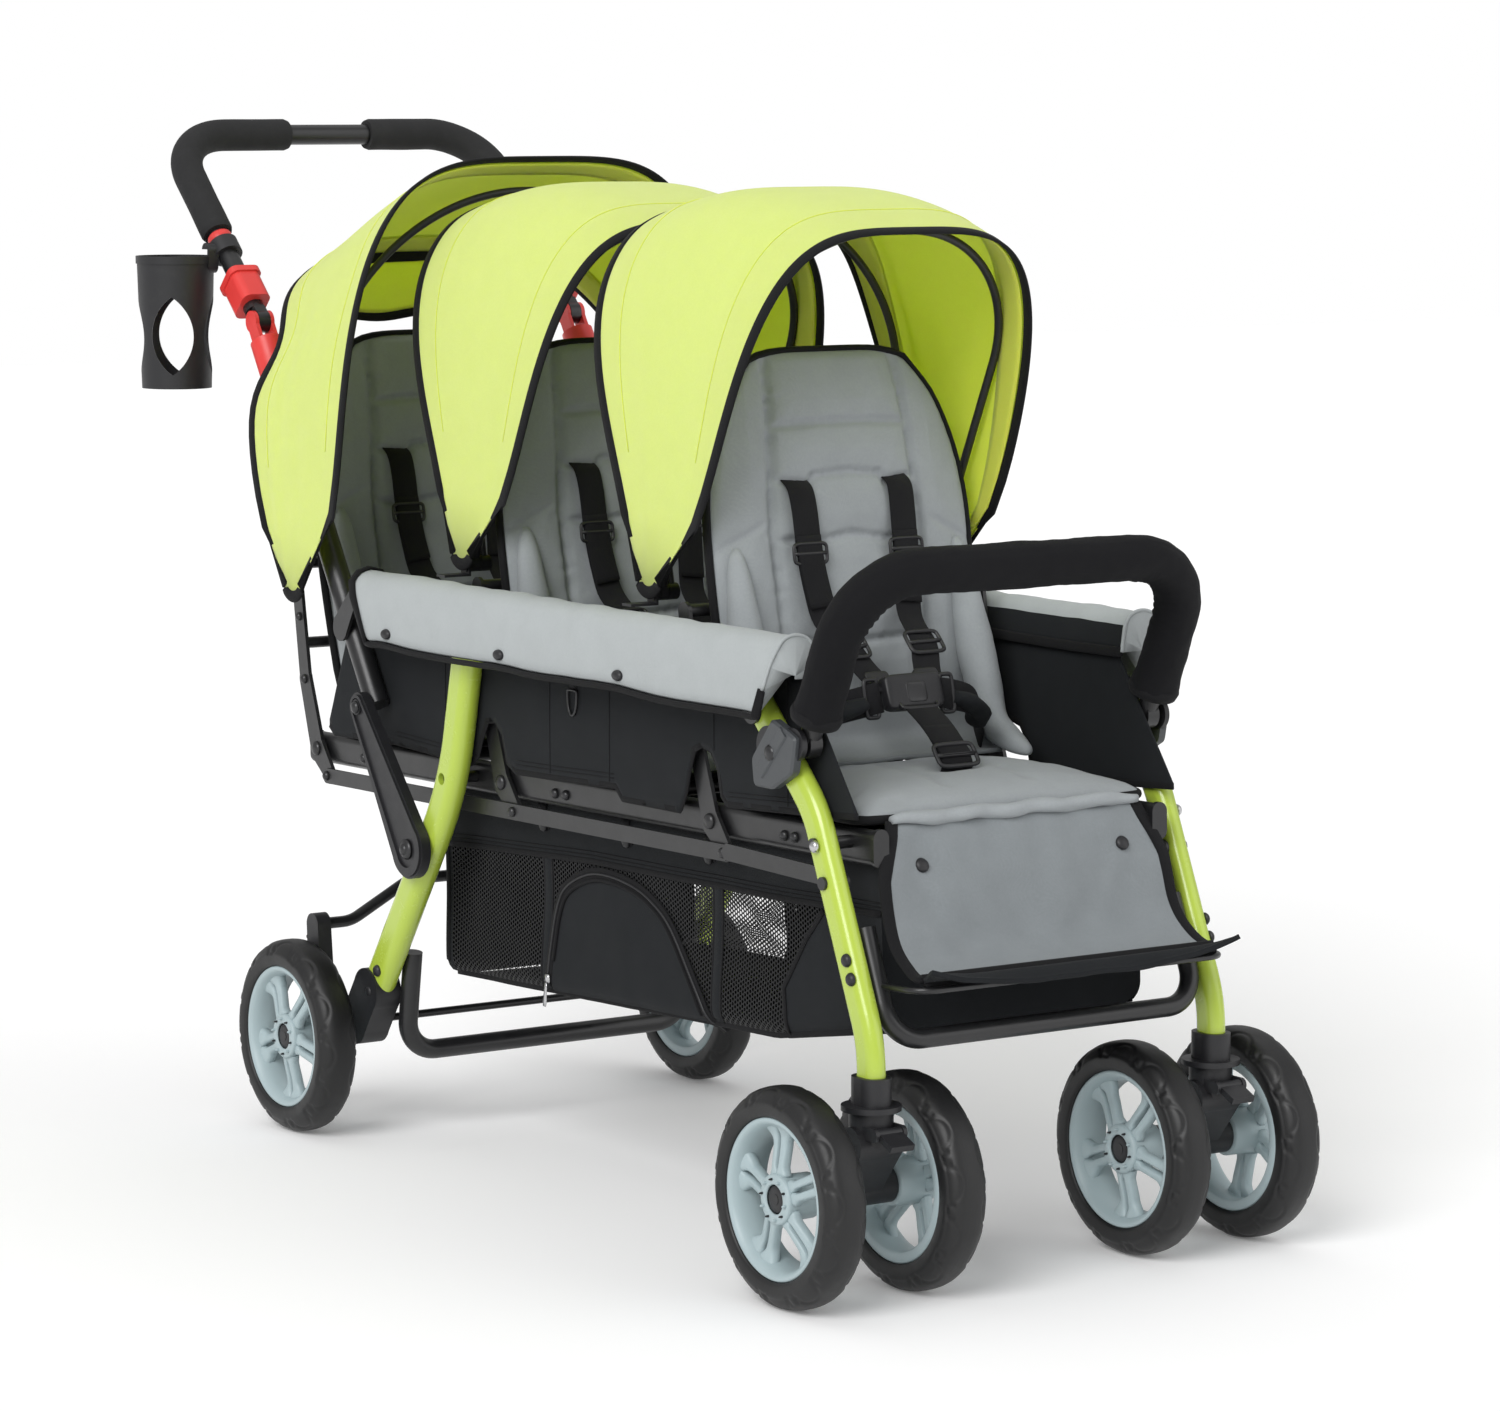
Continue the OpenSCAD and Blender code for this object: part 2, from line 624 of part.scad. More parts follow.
// Seat backs: tapered cushions with side bolsters and sewn channels
back_foot = 64;
back_front = 25;
back_rows = 16;
back_cols = 12;
back_edge_t = 8;
back_channel = 5;
back_channel_rows = [5, 8, 11];
back_bolster_cols = [3, 9];
back_foot_share = 0.93;
back_top_share = 0.6;
back_taper_power = 2.4;
function back_width(t) = back_half * (t < 0.5
    ? mix(back_foot_share, 1, sin(180 * t))
    : mix(1, back_top_share, pow(2 * t - 1, back_taper_power)));
function back_groove(i, j) =
    len(search(i, back_channel_rows)) > 0 || len(search(j, back_bolster_cols)) > 0 ? back_channel : 0;
function back_points(front) =
    [for (i = [0:back_rows]) let (t = i / back_rows)
        [for (j = [0:back_cols]) let (u = 2 * j / back_cols - 1, swell = bulge(u) * bulge(2 * t - 1))
            [u * back_width(t),
             front ? back_t - back_front - mix(back_edge_t, back_t, sqrt(swell)) + back_groove(i, j) * swell
                : back_t - back_front,
             mix(back_foot, back_h, t)]]];
module seat_back(i) color(grey) at(seat_pivot(i)) rotate([-back_lean, 0, 0])
    sheet(back_points(false), back_points(true));
module seat_back_front() seat_back(0);
module seat_back_middle() seat_back(1);
module seat_back_rear() seat_back(2);

// Hinge plates: boomerang plates on the rail pins, joined by cross tubes behind the back
gang_arm = [-27, -26];
gang_pin_r = 3;
gang_t = 3;
plate_foot_r = 9;
plate_hub_r = 14;
plate_step = 1;
plate_waist = [14, 74];
plate_waist_r = 11;
plate_head = 196;
plate_head_r = 9;
back_tube_r = 6;
back_tube_mid = 112;
back_tube_y = back_t - back_front + back_tube_r + seat_gap;
module hinge_plates(i) color(black) at(seat_pivot(i)) {
    both_sides() difference() {
        union() {
            across(hinge_plate_x, hinge_plate_t) {
                strap(gang_arm, [0, 0], plate_foot_r, plate_hub_r);
                rotate(-back_lean) {
                    strap([0, 0], plate_waist, plate_hub_r - plate_step, plate_waist_r);
                    strap(plate_waist, [back_tube_y, plate_head], plate_waist_r - plate_step, plate_head_r);
                }
            }
            translate([0, gang_arm[0], gang_arm[1]])
                pin_x(gang_pin_r, hinge_plate_x, hinge_plate_t + seat_gap + gang_t);
        }
        pin_x(seat_pin_r + run_gap, hinge_plate_x - cut_over, hinge_plate_t + 2 * cut_over);
    }
    rotate([-back_lean, 0, 0]) for (h = [back_tube_mid, plate_head]) translate([0, back_tube_y, h])
        pin_x(back_tube_r, -hinge_plate_x - hinge_plate_t / 2, 2 * hinge_plate_x + hinge_plate_t);
}
module hinge_plates_front() hinge_plates(0);
module hinge_plates_middle() hinge_plates(1);
module hinge_plates_rear() hinge_plates(2);

// Gang bars: flat bars that tie the three pairs of hinge plates together
gang_r = 8;
module gang_bars() color(black) both_sides() translate([0, -mid_y, 0])
    across(hinge_plate_x + hinge_plate_t + seat_gap, gang_t) difference() {
        strap(seat_pivot(0) + gang_arm, seat_pivot(2) + gang_arm, gang_r, gang_r);
        for (i = [0:2]) translate(seat_pivot(i) + gang_arm) circle(gang_pin_r + run_gap);
    }

// Side panels: cloth hung inside the armrests, cut away round the pivots
panel_gap = 0.6;
panel_x = frame_half - rear_leg_w / 2 - panel_gap - cloth;
panel_top_z = 548;
panel_front_foot = [42, 432];
panel_front_top = [125, panel_top_z];
panel_rear_top = [868, panel_top_z];
panel_rear_foot = [862, 432];
panel_hem = [[690, 430], [634, 448], [610, 446], [534, 398], [399, 406], [280, 422]];
module side_panels() color(black) both_sides() translate([0, -mid_y, 0]) across(panel_x, cloth)
    polygon(concat([panel_front_foot, panel_front_top, panel_rear_top, panel_rear_foot], panel_hem));

// Basket: an open tray of cloth hung between the rails
basket_wall = 3;
basket_half = rail_half - rail_w / 2 - seat_gap;
basket_front = 46;
basket_rear = 816;
basket_toe = [60, 226];
basket_keel = [222, 196];
basket_hem_gap = 2;
basket_hem = cross_tube_d / 2 + basket_hem_gap;
function basket_top(y) = [y, rail_z(y) - basket_hem];
basket_heel = basket_top(basket_rear) - [0, basket_drop + basket_hem];
module basket_side(top) polygon([[basket_front, rail_z(basket_front) - basket_hem + top],
    [basket_rear, rail_z(basket_rear) - basket_hem + top], basket_heel, basket_keel, basket_toe]);
module basket() color(black) translate([0, -mid_y, 0]) difference() {
    across(-basket_half, 2 * basket_half) basket_side(0);
    across(basket_wall - basket_half, 2 * (basket_half - basket_wall)) translate([0, basket_wall])
        polygon([basket_top(basket_front + basket_wall) + [0, cut_over],
            basket_top(basket_rear - basket_wall) + [0, cut_over],
            basket_heel - [basket_wall, 0], basket_keel, basket_toe + [basket_wall, 0]]);
}

// Grab bar: clamp brackets on the front legs, a bent tube on their pins and a padded sleeve
grab_pivot = [100, 492];
grab_inset = 1.4;
grab_half = frame_half - grab_inset;
grab_r = 10;
grab_reach = 171;
grab_corner = 70;
grab_lean = -24.3;
grab_pin_r = 5;
grab_eye_r = 13;
grab_eye_l = 13;
grab_pad_r = 24;
grab_pad_up = 46;
grab_plate_t = 5;
grab_plate_r = 15;
grab_clamp_up = 58;
grab_clamp = ahead(leg_arm, leg_lean, grab_clamp_up);
grab_clamp_r = 18;
grab_bolt_r = 7;
module grab_bar_brackets() color(black) both_sides() {
    plate_x = frame_half + front_leg_w / 2 + seat_gap;
    translate([0, -mid_y, 0]) across(plate_x, grab_plate_t)
        strap(grab_clamp, grab_pivot, grab_clamp_r, grab_plate_r);
    at(grab_pivot) pin_x(grab_pin_r, grab_half - grab_eye_l / 2, plate_x - grab_half + grab_eye_l / 2);
    at(grab_clamp) pin_x(grab_bolt_r, plate_x + grab_plate_t, rivet_head);
}
module grab_bar_tube() color(black) at(grab_pivot) difference() {
    union() {
        rotate([-grab_lean, 0, 0]) u_tube(grab_half, grab_reach, grab_corner) circle(grab_r);
        both_sides() pin_x(grab_eye_r, grab_half - grab_eye_l / 2, grab_eye_l);
    }
    both_sides() pin_x(grab_pin_r + run_gap, grab_half - grab_eye_l, 2 * grab_eye_l);
}
module ring(outer, inner) difference() {
    circle(outer);
    circle(inner);
}
module grab_bar_pad() color(black) at(grab_pivot) rotate([-grab_lean, 0, 0])
    translate([0, 0, grab_pad_up]) u_tube(grab_half, grab_reach - grab_pad_up, grab_corner)
        ring(grab_pad_r, grab_r + run_gap);

// Rear legs: bent oval tubes that turn on the rail pins and carry the link pins
link_gap = 1.5;
link_x = frame_half + rear_leg_w / 2 + link_gap;
link_pin_r = 6;
module rear_leg_tube() at(rear_leg_foot, frame_half) rotate([-rear_leg_lean, 0, 0])
    tube_path([[rear_leg_run, rear_leg_turn, rear_leg_bend_r], [rear_leg_head_run, 0, 0]], bend_lap)
        oval(rear_leg_w, rear_leg_t);
module rear_legs() color(lime) both_sides() difference() {
    union() {
        rear_leg_tube();
        at(link_foot) pin_x(link_pin_r, frame_half, link_x + link_t - frame_half);
    }
    at([rear_pivot_y, rear_pivot_z]) pin_x(rear_pin_r + run_gap, frame_half - rear_leg_w, 2 * rear_leg_w);
}

// Rear U bar below the basket
rear_bar_r = 10;
rear_bar_top = [846, 195];
rear_bar_heading = 171.5;
rear_bar_drop = 108;
rear_bar_corner = 35;
module rear_u_bar() color(black) at(rear_bar_top) rotate([-rear_bar_heading, 0, 0])
    u_tube(frame_half - rear_leg_w / 2 - rear_bar_r - seat_gap, rear_bar_drop, rear_bar_corner)
        circle(rear_bar_r);

// Axle brackets: moulded sleeves on the rear leg ends with stub axles
bracket_wall = 2.4;
bracket_in = frame_half - rear_leg_w / 2 - bracket_wall;
bracket_w = rear_leg_w + 2 * bracket_wall;
bracket_r = 24;
bracket_axle_r = 17;
bracket_up = 42;
axle_short = 6;
rear_axle = [rear_axle_y, wheel_z];
module axle_brackets() color(black) both_sides() {
    difference() {
        translate([0, -mid_y, 0]) across(bracket_in, bracket_w) {
            strap(ahead(rear_leg_foot, rear_leg_lean, bracket_up), rear_leg_foot, bracket_r, bracket_r);
            strap(rear_leg_foot, rear_axle, bracket_r, bracket_axle_r);
        }
        at(rear_leg_foot, frame_half) rotate([-rear_leg_lean, 0, 0]) linear_extrude(rear_leg_run)
            oval(rear_leg_w + 2 * run_gap, rear_leg_t + 2 * run_gap);
    }
    at(rear_axle) pin_x(axle_r, frame_half, (rear_track + wheel_w) / 2 - axle_short - frame_half);
}

// Tie rod between the axle brackets
tie_rod_r = 4;
tie_rod = [884, 122];
module rear_tie_rod() color(black) at(tie_rod)
    pin_x(tie_rod_r, run_gap - bracket_in, 2 * (bracket_in - run_gap));

// Brake: a ribbed pedal on each stub axle and the bent tube that joins them
pedal_x = bracket_in + bracket_w + seat_gap;
pedal_gap = 1.5;
rear_track = 2 * (pedal_x + pedal_w + pedal_gap) + wheel_w;
pedal_hub_r = 15;
pedal_top = [963, 212];
pedal_top_r = 12;
pedal_ribs = 4;
pedal_rib_r = 2;
brake_tube_r = 6;
brake_run = 34;
brake_turn = 28;
brake_bend_r = 40;
brake_rise_run = 60;
brake_short = 2;
brake_end = pedal_x + pedal_w - brake_short;
module brake_pedals() color(black) both_sides() {
    difference() {
        translate([0, -mid_y, 0]) across(pedal_x, pedal_w) {
            strap(rear_axle, pedal_top, pedal_hub_r, pedal_top_r);
            for (i = [1:pedal_ribs]) translate(mix(pedal_top, rear_axle, i / (2 * pedal_ribs)) + [pedal_top_r, 0])
                circle(pedal_rib_r);
        }
        at(rear_axle) pin_x(axle_r + run_gap, pedal_x - cut_over, pedal_w + 2 * cut_over);
        at(pedal_top) pin_x(brake_tube_r + run_gap, pedal_x - cut_over, brake_end - pedal_x + cut_over + run_gap);
    }
}
brake_fall = 2 * brake_bend_r * sin(brake_turn) + brake_rise_run * cos(brake_turn);
module brake_bar() color(black) both_sides() at(pedal_top, brake_end) rotate([0, -90, 0]) rotate([0, 0, -90])
    tube_path([[brake_run, brake_turn, brake_bend_r], [brake_rise_run, -brake_turn, brake_bend_r],
        [brake_end - brake_run - brake_fall, 0, 0]], bend_lap) circle(brake_tube_r);

// Fold links: ridged plates from the rear legs up to the ends of the lower poles
link_ridge = 2.5;
link_ridge_share = 0.62;
link_rivet_r = 8;
module fold_links() color(black) both_sides() difference() {
    union() {
        translate([0, -mid_y, 0]) {
            across(link_x, link_t) strap(link_foot, pole_end, link_disc_r, link_top_r);
            across(link_x + link_t, link_ridge) difference() {
                strap(link_foot, pole_end, link_disc_r - link_ridge, link_top_r - link_ridge);
                strap(link_foot, pole_end, link_disc_r * link_ridge_share, link_top_r * link_ridge_share);
            }
        }
        at(pole_end) pin_x(link_rivet_r, link_x, link_t + link_ridge);
    }
    at(link_foot) pin_x(link_pin_r + run_gap, link_x - cut_over, link_t + 2 * cut_over);
}

// Lower poles: straight tubes on the armrest pins, with the pins for the rear canopy bow
pole_top_drop = 26;
pole_lug_r = 7;
module lower_poles() color(black) both_sides() {
    difference() {
        at(pole_end, frame_half) rotate([-pole_lean, 0, 0]) cylinder(d = pole_d, h = pole_end_drop - pole_top_drop);
        at(pole_pivot) pin_x(pole_pin_r + run_gap, frame_half - pole_d, 2 * pole_d);
    }
    at(clip_rear) pin_x(clip_pin_r, frame_half, rear_bow_half + bow_d / 2 - frame_half);
}

// Pole catches: moulded caps with two ears that hold the handle's fold pins
catch_r = 17;
catch_l = 48;
catch_roof = 2;
ear_x = 6.9;
ear_t = 4.2;
ear_r = 11.5;
ear_neck = 18;
module pole_catches() color(red) both_sides() at([knuckle_y, knuckle_z], frame_half) {
    rotate([-pole_lean, 0, 0]) {
        translate([0, 0, -pole_top_drop - catch_l]) difference() {
            cylinder(r = catch_r, h = catch_l + catch_roof);
            translate([0, 0, -cut_over]) cylinder(r = pole_d / 2 + run_gap, h = catch_l + cut_over + run_gap);
        }
        for (s = [-1, 1]) translate([s * (ear_x + ear_t / 2), 0, 0]) {
            pin_x(ear_r, -ear_t / 2, ear_t);
            translate([-ear_t / 2, -ear_neck / 2, -pole_top_drop]) cube([ear_t, ear_neck, pole_top_drop]);
        }
    }
    pin_x(knuckle_pin_r, -ear_x - ear_t / 2, 2 * ear_x + ear_t);
}

// Handle: one U tube with flattened eyes, two foam grips and the sliding latches
eye_w = 13;
eye_r = 12;
eye_neck = 14;
module on_handle() at([knuckle_y, knuckle_z]) rotate([-handle_lean, 0, 0]) children();
module handle_tube() color(black) on_handle() difference() {
    union() {
        translate([0, 0, eye_neck]) u_tube(frame_half, handle_reach - eye_neck, handle_corner_r)
            circle(d = handle_d);
        for (s = [-1, 1]) translate([s * frame_half, 0, 0]) {
            pin_x(eye_r, -eye_w / 2, eye_w);
            translate([-eye_w / 2, -handle_d / 2, 0]) cube([eye_w, handle_d, eye_neck]);
        }
    }
    pin_x(knuckle_pin_r + run_gap, -2 * frame_half, 4 * frame_half);
}
grip_from = 128;
grip_leg = handle_reach - handle_corner_r - grip_from;
module handle_grips() color(black) on_handle()
    for (s = [-1, 1]) translate([s * frame_half, 0, grip_from])
        rotate([0, 0, s * 90])
            tube_path([[grip_leg, 90, handle_corner_r], [frame_half - handle_corner_r - grip_gap / 2, 0, 0]])
                ring(grip_d / 2, handle_d / 2 + run_gap);
latch_up = 22;
latch_l = 34;
latch_w = 33;
latch_d = 37;
latch_corner = 9;
latch_lip = 2;
latch_lip_l = 7;
module latch(s) color(red) on_handle() translate([s * frame_half, 0, latch_up]) difference() {
    union() {
        linear_extrude(latch_l) round_rect(latch_w, latch_d, latch_corner);
        translate([0, 0, latch_l]) linear_extrude(latch_lip_l)
            round_rect(latch_w + 2 * latch_lip, latch_d + 2 * latch_lip, latch_corner);
    }
    translate([0, 0, -cut_over]) cylinder(d = handle_d + 2 * run_gap, h = latch_l + latch_lip_l + 2 * cut_over);
}
module latch_left() latch(1);
module latch_right() latch(-1);

// Cup holder clamped to the right side of the handle
cup_r = 42;
cup_foot_r = 37;
cup_h = 140;
cup_wall = 2.5;
cup_floor = 3;
cup_y = 1223;
cup_z = 757;
cup_x = frame_half + twin_pitch / 2 + wheel_w / 2 - cup_r;
cup_rim = 8;
cup_slots = 4;
cup_slot_r = 50;
cup_slot_w = 44;
cup_slot_z = 56;
cup_turn = 56;
cup_clamp_r = 16;
cup_clamp_l = 18;
cup_clamp_up = 96;
cup_arm_r = 8;
cup_arm_t = 12;
cup_arm_share = 2 / 3;
cup_arm_drop = 10;
module cup_holder() color(black) {
    clamp = ahead([knuckle_y, knuckle_z], handle_lean, cup_clamp_up + cup_clamp_l / 2);
    arm_foot = [cup_y - cup_r * cup_arm_share, cup_z + cup_h - cup_arm_drop];
    difference() {
        union() {
            at([cup_y, cup_z], -cup_x) {
                cylinder(r1 = cup_foot_r, r2 = cup_r - cup_wall / 2, h = cup_h - cup_rim);
                translate([0, 0, cup_h - cup_rim]) cylinder(r = cup_r, h = cup_rim);
            }
            on_handle() translate([-frame_half, 0, cup_clamp_up]) cylinder(r = cup_clamp_r, h = cup_clamp_l);
            translate([0, -mid_y, 0]) across(-frame_half - cup_clamp_r - cup_arm_r, cup_arm_t)
                strap(clamp, arm_foot, cup_arm_r, cup_arm_r);
        }
        at([cup_y, cup_z + cup_floor], -cup_x)
            cylinder(r1 = cup_foot_r - cup_wall, r2 = cup_r - cup_wall, h = cup_h + cut_over);
        at([cup_y, cup_z + cup_slot_z], -cup_x) for (i = [1:cup_slots]) rotate([0, 0, cup_turn + 360 * i / cup_slots])
            rotate([90, 0, 90]) linear_extrude(2 * cup_r) intersection_for(s = [-1, 1])
                translate([s * (cup_slot_r - cup_slot_w / 2), 0]) circle(cup_slot_r);
        on_handle() translate([-frame_half, 0, cup_clamp_up - cut_over])
            cylinder(d = handle_d + 2 * run_gap, h = cup_clamp_l + 2 * cut_over);
    }
}

// Caster forks: a stem on the swivel pin, a web down to the axle and cheeks for the lock tab
fork_gap = 0.4;
fork_top = socket_z - fork_gap;
stem_r = 20;
stem_h = 30;
fork_web = 46;
fork_hub_r = 17;
web_top_r = 17;
web_foot_r = 14;
hub_gap = 2;
fork_hub_l = twin_pitch - wheel_w - hub_gap;
lock_pin = [-26, 160];
lock_pin_r = 2.5;
lock_half = 12.5;
cheek_t = 4;
cheek_r = 6;
pin_short = 0.5;
front_axle = [trail, wheel_z];
module caster_fork(s) color(black) translate([s * frame_half, 0, 0]) {
    at([0, fork_top - stem_h]) cylinder(r = stem_r, h = stem_h);
    at([0, fork_top]) cylinder(r = swivel_pin_r, h = socket_floor - pin_short);
    translate([0, -mid_y, 0]) {
        across(-fork_web / 2, fork_web) strap([0, fork_top - stem_h], front_axle, web_top_r, web_foot_r);
        for (c = [lock_half + seat_gap, -lock_half - seat_gap - cheek_t]) across(c, cheek_t)
            strap([0, lock_pin[1]], lock_pin, cheek_r, cheek_r);
    }
    at(front_axle) {
        pin_x(fork_hub_r, -fork_hub_l / 2, fork_hub_l);
        pin_x(axle_r, axle_short - (twin_pitch + wheel_w) / 2, twin_pitch + wheel_w - 2 * axle_short);
    }
    at(lock_pin) pin_x(lock_pin_r, -lock_half - cheek_t, 2 * (lock_half + cheek_t));
}
module caster_fork_left() caster_fork(1);
module caster_fork_right() caster_fork(-1);

// Swivel locks: ribbed toe tabs ahead of the forks
lock_toe = [-48, 150];
lock_r = 5;
lock_tab = 6;
module swivel_lock(s) color(black) translate([s * frame_half, 0, 0]) difference() {
    at(lock_pin) across(-lock_half, 2 * lock_half) {
        toe = lock_toe - lock_pin;
        circle(lock_r);
        rotate(atan2(toe[1], toe[0])) translate([0, -lock_tab / 2]) square([norm(toe), lock_tab]);
    }
    at(lock_pin) pin_x(lock_pin_r + run_gap, -lock_half - cut_over, 2 * (lock_half + cut_over));
}
module swivel_lock_left() swivel_lock(1);
module swivel_lock_right() swivel_lock(-1);

// Wheels: a tyre on a rim with paired spokes, outer face towards +x
rim_step = 8;
rim_w = wheel_w - rim_step;
spoke_root = 4;
spoke_in = hub_r - spoke_root;
module tyre(p, x) color(black) at(p, x) rotate([0, 90, 0]) rotate_extrude($fn = 96)
    translate([(wheel_d + rim_d) / 4, 0]) round_rect((wheel_d - rim_d) / 2, wheel_w, tyre_corner);
module rim(p, x, out) color(rim_grey) at(p, x) rotate([0, out * 90, 0]) difference() {
    union() {
        translate([0, 0, -rim_w / 2]) linear_extrude(rim_w) ring(rim_d / 2 - run_gap, rim_d / 2 - rim_lip);
        translate([0, 0, -wheel_w / 2]) cylinder(r = hub_r, h = wheel_w - hub_cap_t);
        translate([0, 0, wheel_w / 2 - hub_cap_t]) cylinder(r = hub_cap_r, h = hub_cap_t);
        for (i = [1:spoke_pairs], f = [-1, 1]) rotate([0, 0, 360 * i / spoke_pairs + f * spoke_fan])
            translate([spoke_in, -spoke_w / 2, rim_w / 2 - rim_dish - spoke_t])
                cube([rim_d / 2 - rim_lip / 2 - spoke_in, spoke_w, spoke_t]);
    }
    translate([0, 0, -wheel_w / 2 - cut_over])
        cylinder(r = axle_r + run_gap, h = wheel_w - axle_short + seat_gap + cut_over);
}
outer_x = frame_half + twin_pitch / 2;
inner_x = frame_half - twin_pitch / 2;
module left_outer_tyre() tyre(front_axle, outer_x);
module left_outer_rim() rim(front_axle, outer_x, 1);
module left_inner_tyre() tyre(front_axle, inner_x);
module left_inner_rim() rim(front_axle, inner_x, -1);
module right_outer_tyre() tyre(front_axle, -outer_x);
module right_outer_rim() rim(front_axle, -outer_x, -1);
module right_inner_tyre() tyre(front_axle, -inner_x);
module right_inner_rim() rim(front_axle, -inner_x, 1);
module rear_left_tyre() tyre(rear_axle, rear_track / 2);
module rear_left_rim() rim(rear_axle, rear_track / 2, 1);
module rear_right_tyre() tyre(rear_axle, -rear_track / 2);
module rear_right_rim() rim(rear_axle, -rear_track / 2, -1);

front_legs();
caster_sockets();
rail_fittings();
seat_rails();
armrest_tubes();
armrest_covers();
canopy_fixed_bows();
footrest_bar();
calf_panel();
seat_pad_front();
seat_pad_middle();
seat_pad_rear();
side_panels();
basket();
grab_bar_brackets();
seat_back_front();
seat_back_middle();
seat_back_rear();
hinge_plates_front();
hinge_plates_middle();
hinge_plates_rear();
gang_bars();
grab_bar_tube();
grab_bar_pad();
rear_legs();
rear_u_bar();
axle_brackets();
rear_tie_rod();
brake_bar();
brake_pedals();
fold_links();
lower_poles();
pole_catches();
handle_tube();
handle_grips();
cup_holder();
latch_left();
latch_right();
canopy_bow_front();
canopy_bow_middle();
canopy_bow_rear();
canopy_front();
canopy_middle();
canopy_rear();
caster_fork_left();
caster_fork_right();
swivel_lock_left();
swivel_lock_right();
left_outer_tyre();
left_outer_rim();
left_inner_tyre();
left_inner_rim();
right_outer_tyre();
right_outer_rim();
right_inner_tyre();
right_inner_rim();
rear_left_tyre();
rear_left_rim();
rear_right_tyre();
rear_right_rim();
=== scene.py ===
import bpy, bmesh
from math import asin, copysign, cos, dist, exp, hypot, pi, radians, sin, sqrt
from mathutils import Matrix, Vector, noise


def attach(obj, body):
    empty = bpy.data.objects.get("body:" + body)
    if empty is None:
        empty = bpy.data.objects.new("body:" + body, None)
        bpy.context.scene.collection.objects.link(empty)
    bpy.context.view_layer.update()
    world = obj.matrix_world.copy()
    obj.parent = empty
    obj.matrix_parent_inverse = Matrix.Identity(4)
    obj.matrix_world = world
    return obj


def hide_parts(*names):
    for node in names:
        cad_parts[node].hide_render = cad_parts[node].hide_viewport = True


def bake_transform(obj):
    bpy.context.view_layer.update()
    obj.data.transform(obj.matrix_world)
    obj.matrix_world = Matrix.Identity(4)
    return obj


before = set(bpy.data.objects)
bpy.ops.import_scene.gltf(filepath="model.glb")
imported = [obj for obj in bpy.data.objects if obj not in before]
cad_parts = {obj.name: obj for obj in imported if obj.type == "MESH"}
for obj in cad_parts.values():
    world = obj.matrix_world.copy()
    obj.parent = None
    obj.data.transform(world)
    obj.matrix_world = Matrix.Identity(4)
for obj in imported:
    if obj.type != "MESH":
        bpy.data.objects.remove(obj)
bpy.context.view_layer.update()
midY = 0.6342414  # station of the row frame's origin along the stroller, in metres
scene = bpy.context.scene
scene.view_settings.view_transform = "Standard"


def st(y, z, x=0.0):  # a station in millimetres to a point in the row frame
    return Vector((x / 1000, y / 1000 - midY, z / 1000))


def mix(a, b, t):
    return a + (b - a) * t


def smooth(a, b, x):
    t = min(1, max(0, (x - a) / (b - a)))
    return t * t * (3 - 2 * t)


def signedPower(x, k):  # a power that keeps the sign
    return copysign(abs(x) ** k, x)


def wobble(x, y, z):  # slow uneven relief, the same on every run
    return noise.noise(Vector((x, y, z)))


def mm(x, y, z):  # millimetres to a vector in metres
    return Vector((x / 1000, y / 1000, z / 1000))


# mesh helpers shared by all the pieces
def newObject(name, data):
    ob = bpy.data.objects.new(name, data)
    scene.collection.objects.link(ob)
    return ob


def newMesh(name, verts, faces, mat, soft=True):
    me = bpy.data.meshes.new(name)
    me.from_pydata([tuple(v) for v in verts], [], faces)
    me.materials.append(mat)
    if soft:
        me.polygons.foreach_set("use_smooth", [True] * len(me.polygons))
    return newObject(name, me)


def fixNormals(ob):
    bm = bmesh.new()
    bm.from_mesh(ob.data)
    bmesh.ops.remove_doubles(bm, verts=bm.verts, dist=1e-6)
    bmesh.ops.recalc_face_normals(bm, faces=bm.faces)
    bm.to_mesh(ob.data)
    bm.free()
    return ob


def applyMods(ob):
    bpy.context.view_layer.update()
    dg = bpy.context.evaluated_depsgraph_get()
    me = bpy.data.meshes.new_from_object(ob.evaluated_get(dg), depsgraph=dg)
    ob.modifiers.clear()
    old = ob.data
    ob.data = me
    bpy.data.meshes.remove(old)
    return ob


def subdivide(ob, levels=1):
    m = ob.modifiers.new("sub", "SUBSURF")
    m.levels = m.render_levels = levels
    return applyMods(ob)


def gridFaces(rows, cols, closeRows=False, closeCols=False, first=0):
    faces = []
    for i in range(rows if closeRows else rows - 1):
        for j in range(cols if closeCols else cols - 1):
            a, b = first + i * cols, first + (i + 1) % rows * cols
            c, d = j, (j + 1) % cols
            faces.append([a + c, a + d, b + d, b + c])
    return faces


def gridMesh(name, grid, mat, thick=0.0):
    rows, cols = len(grid), len(grid[0])
    ob = newMesh(name, [p for r in grid for p in r], gridFaces(rows, cols), mat)
    if thick:
        m = ob.modifiers.new("cloth", "SOLIDIFY")
        m.thickness = thick
        m.offset = 0
        applyMods(ob)
    return ob


def shell(name, front, back, mat):  # a closed form between two matching grids
    rows, cols = len(front), len(front[0])
    n = rows * cols
    verts = [p for r in front for p in r] + [p for r in back for p in r]
    faces = gridFaces(rows, cols) + [list(reversed(f)) for f in gridFaces(rows, cols, first=n)]
    rim = list(range(cols)) + [i * cols + cols - 1 for i in range(1, rows)]
    rim += [(rows - 1) * cols + j for j in range(cols - 2, -1, -1)]
    rim += [i * cols for i in range(rows - 2, 0, -1)]
    for a, b in zip(rim, rim[1:] + rim[:1]):
        faces.append([b, a, n + a, n + b])
    return fixNormals(newMesh(name, verts, faces, mat))


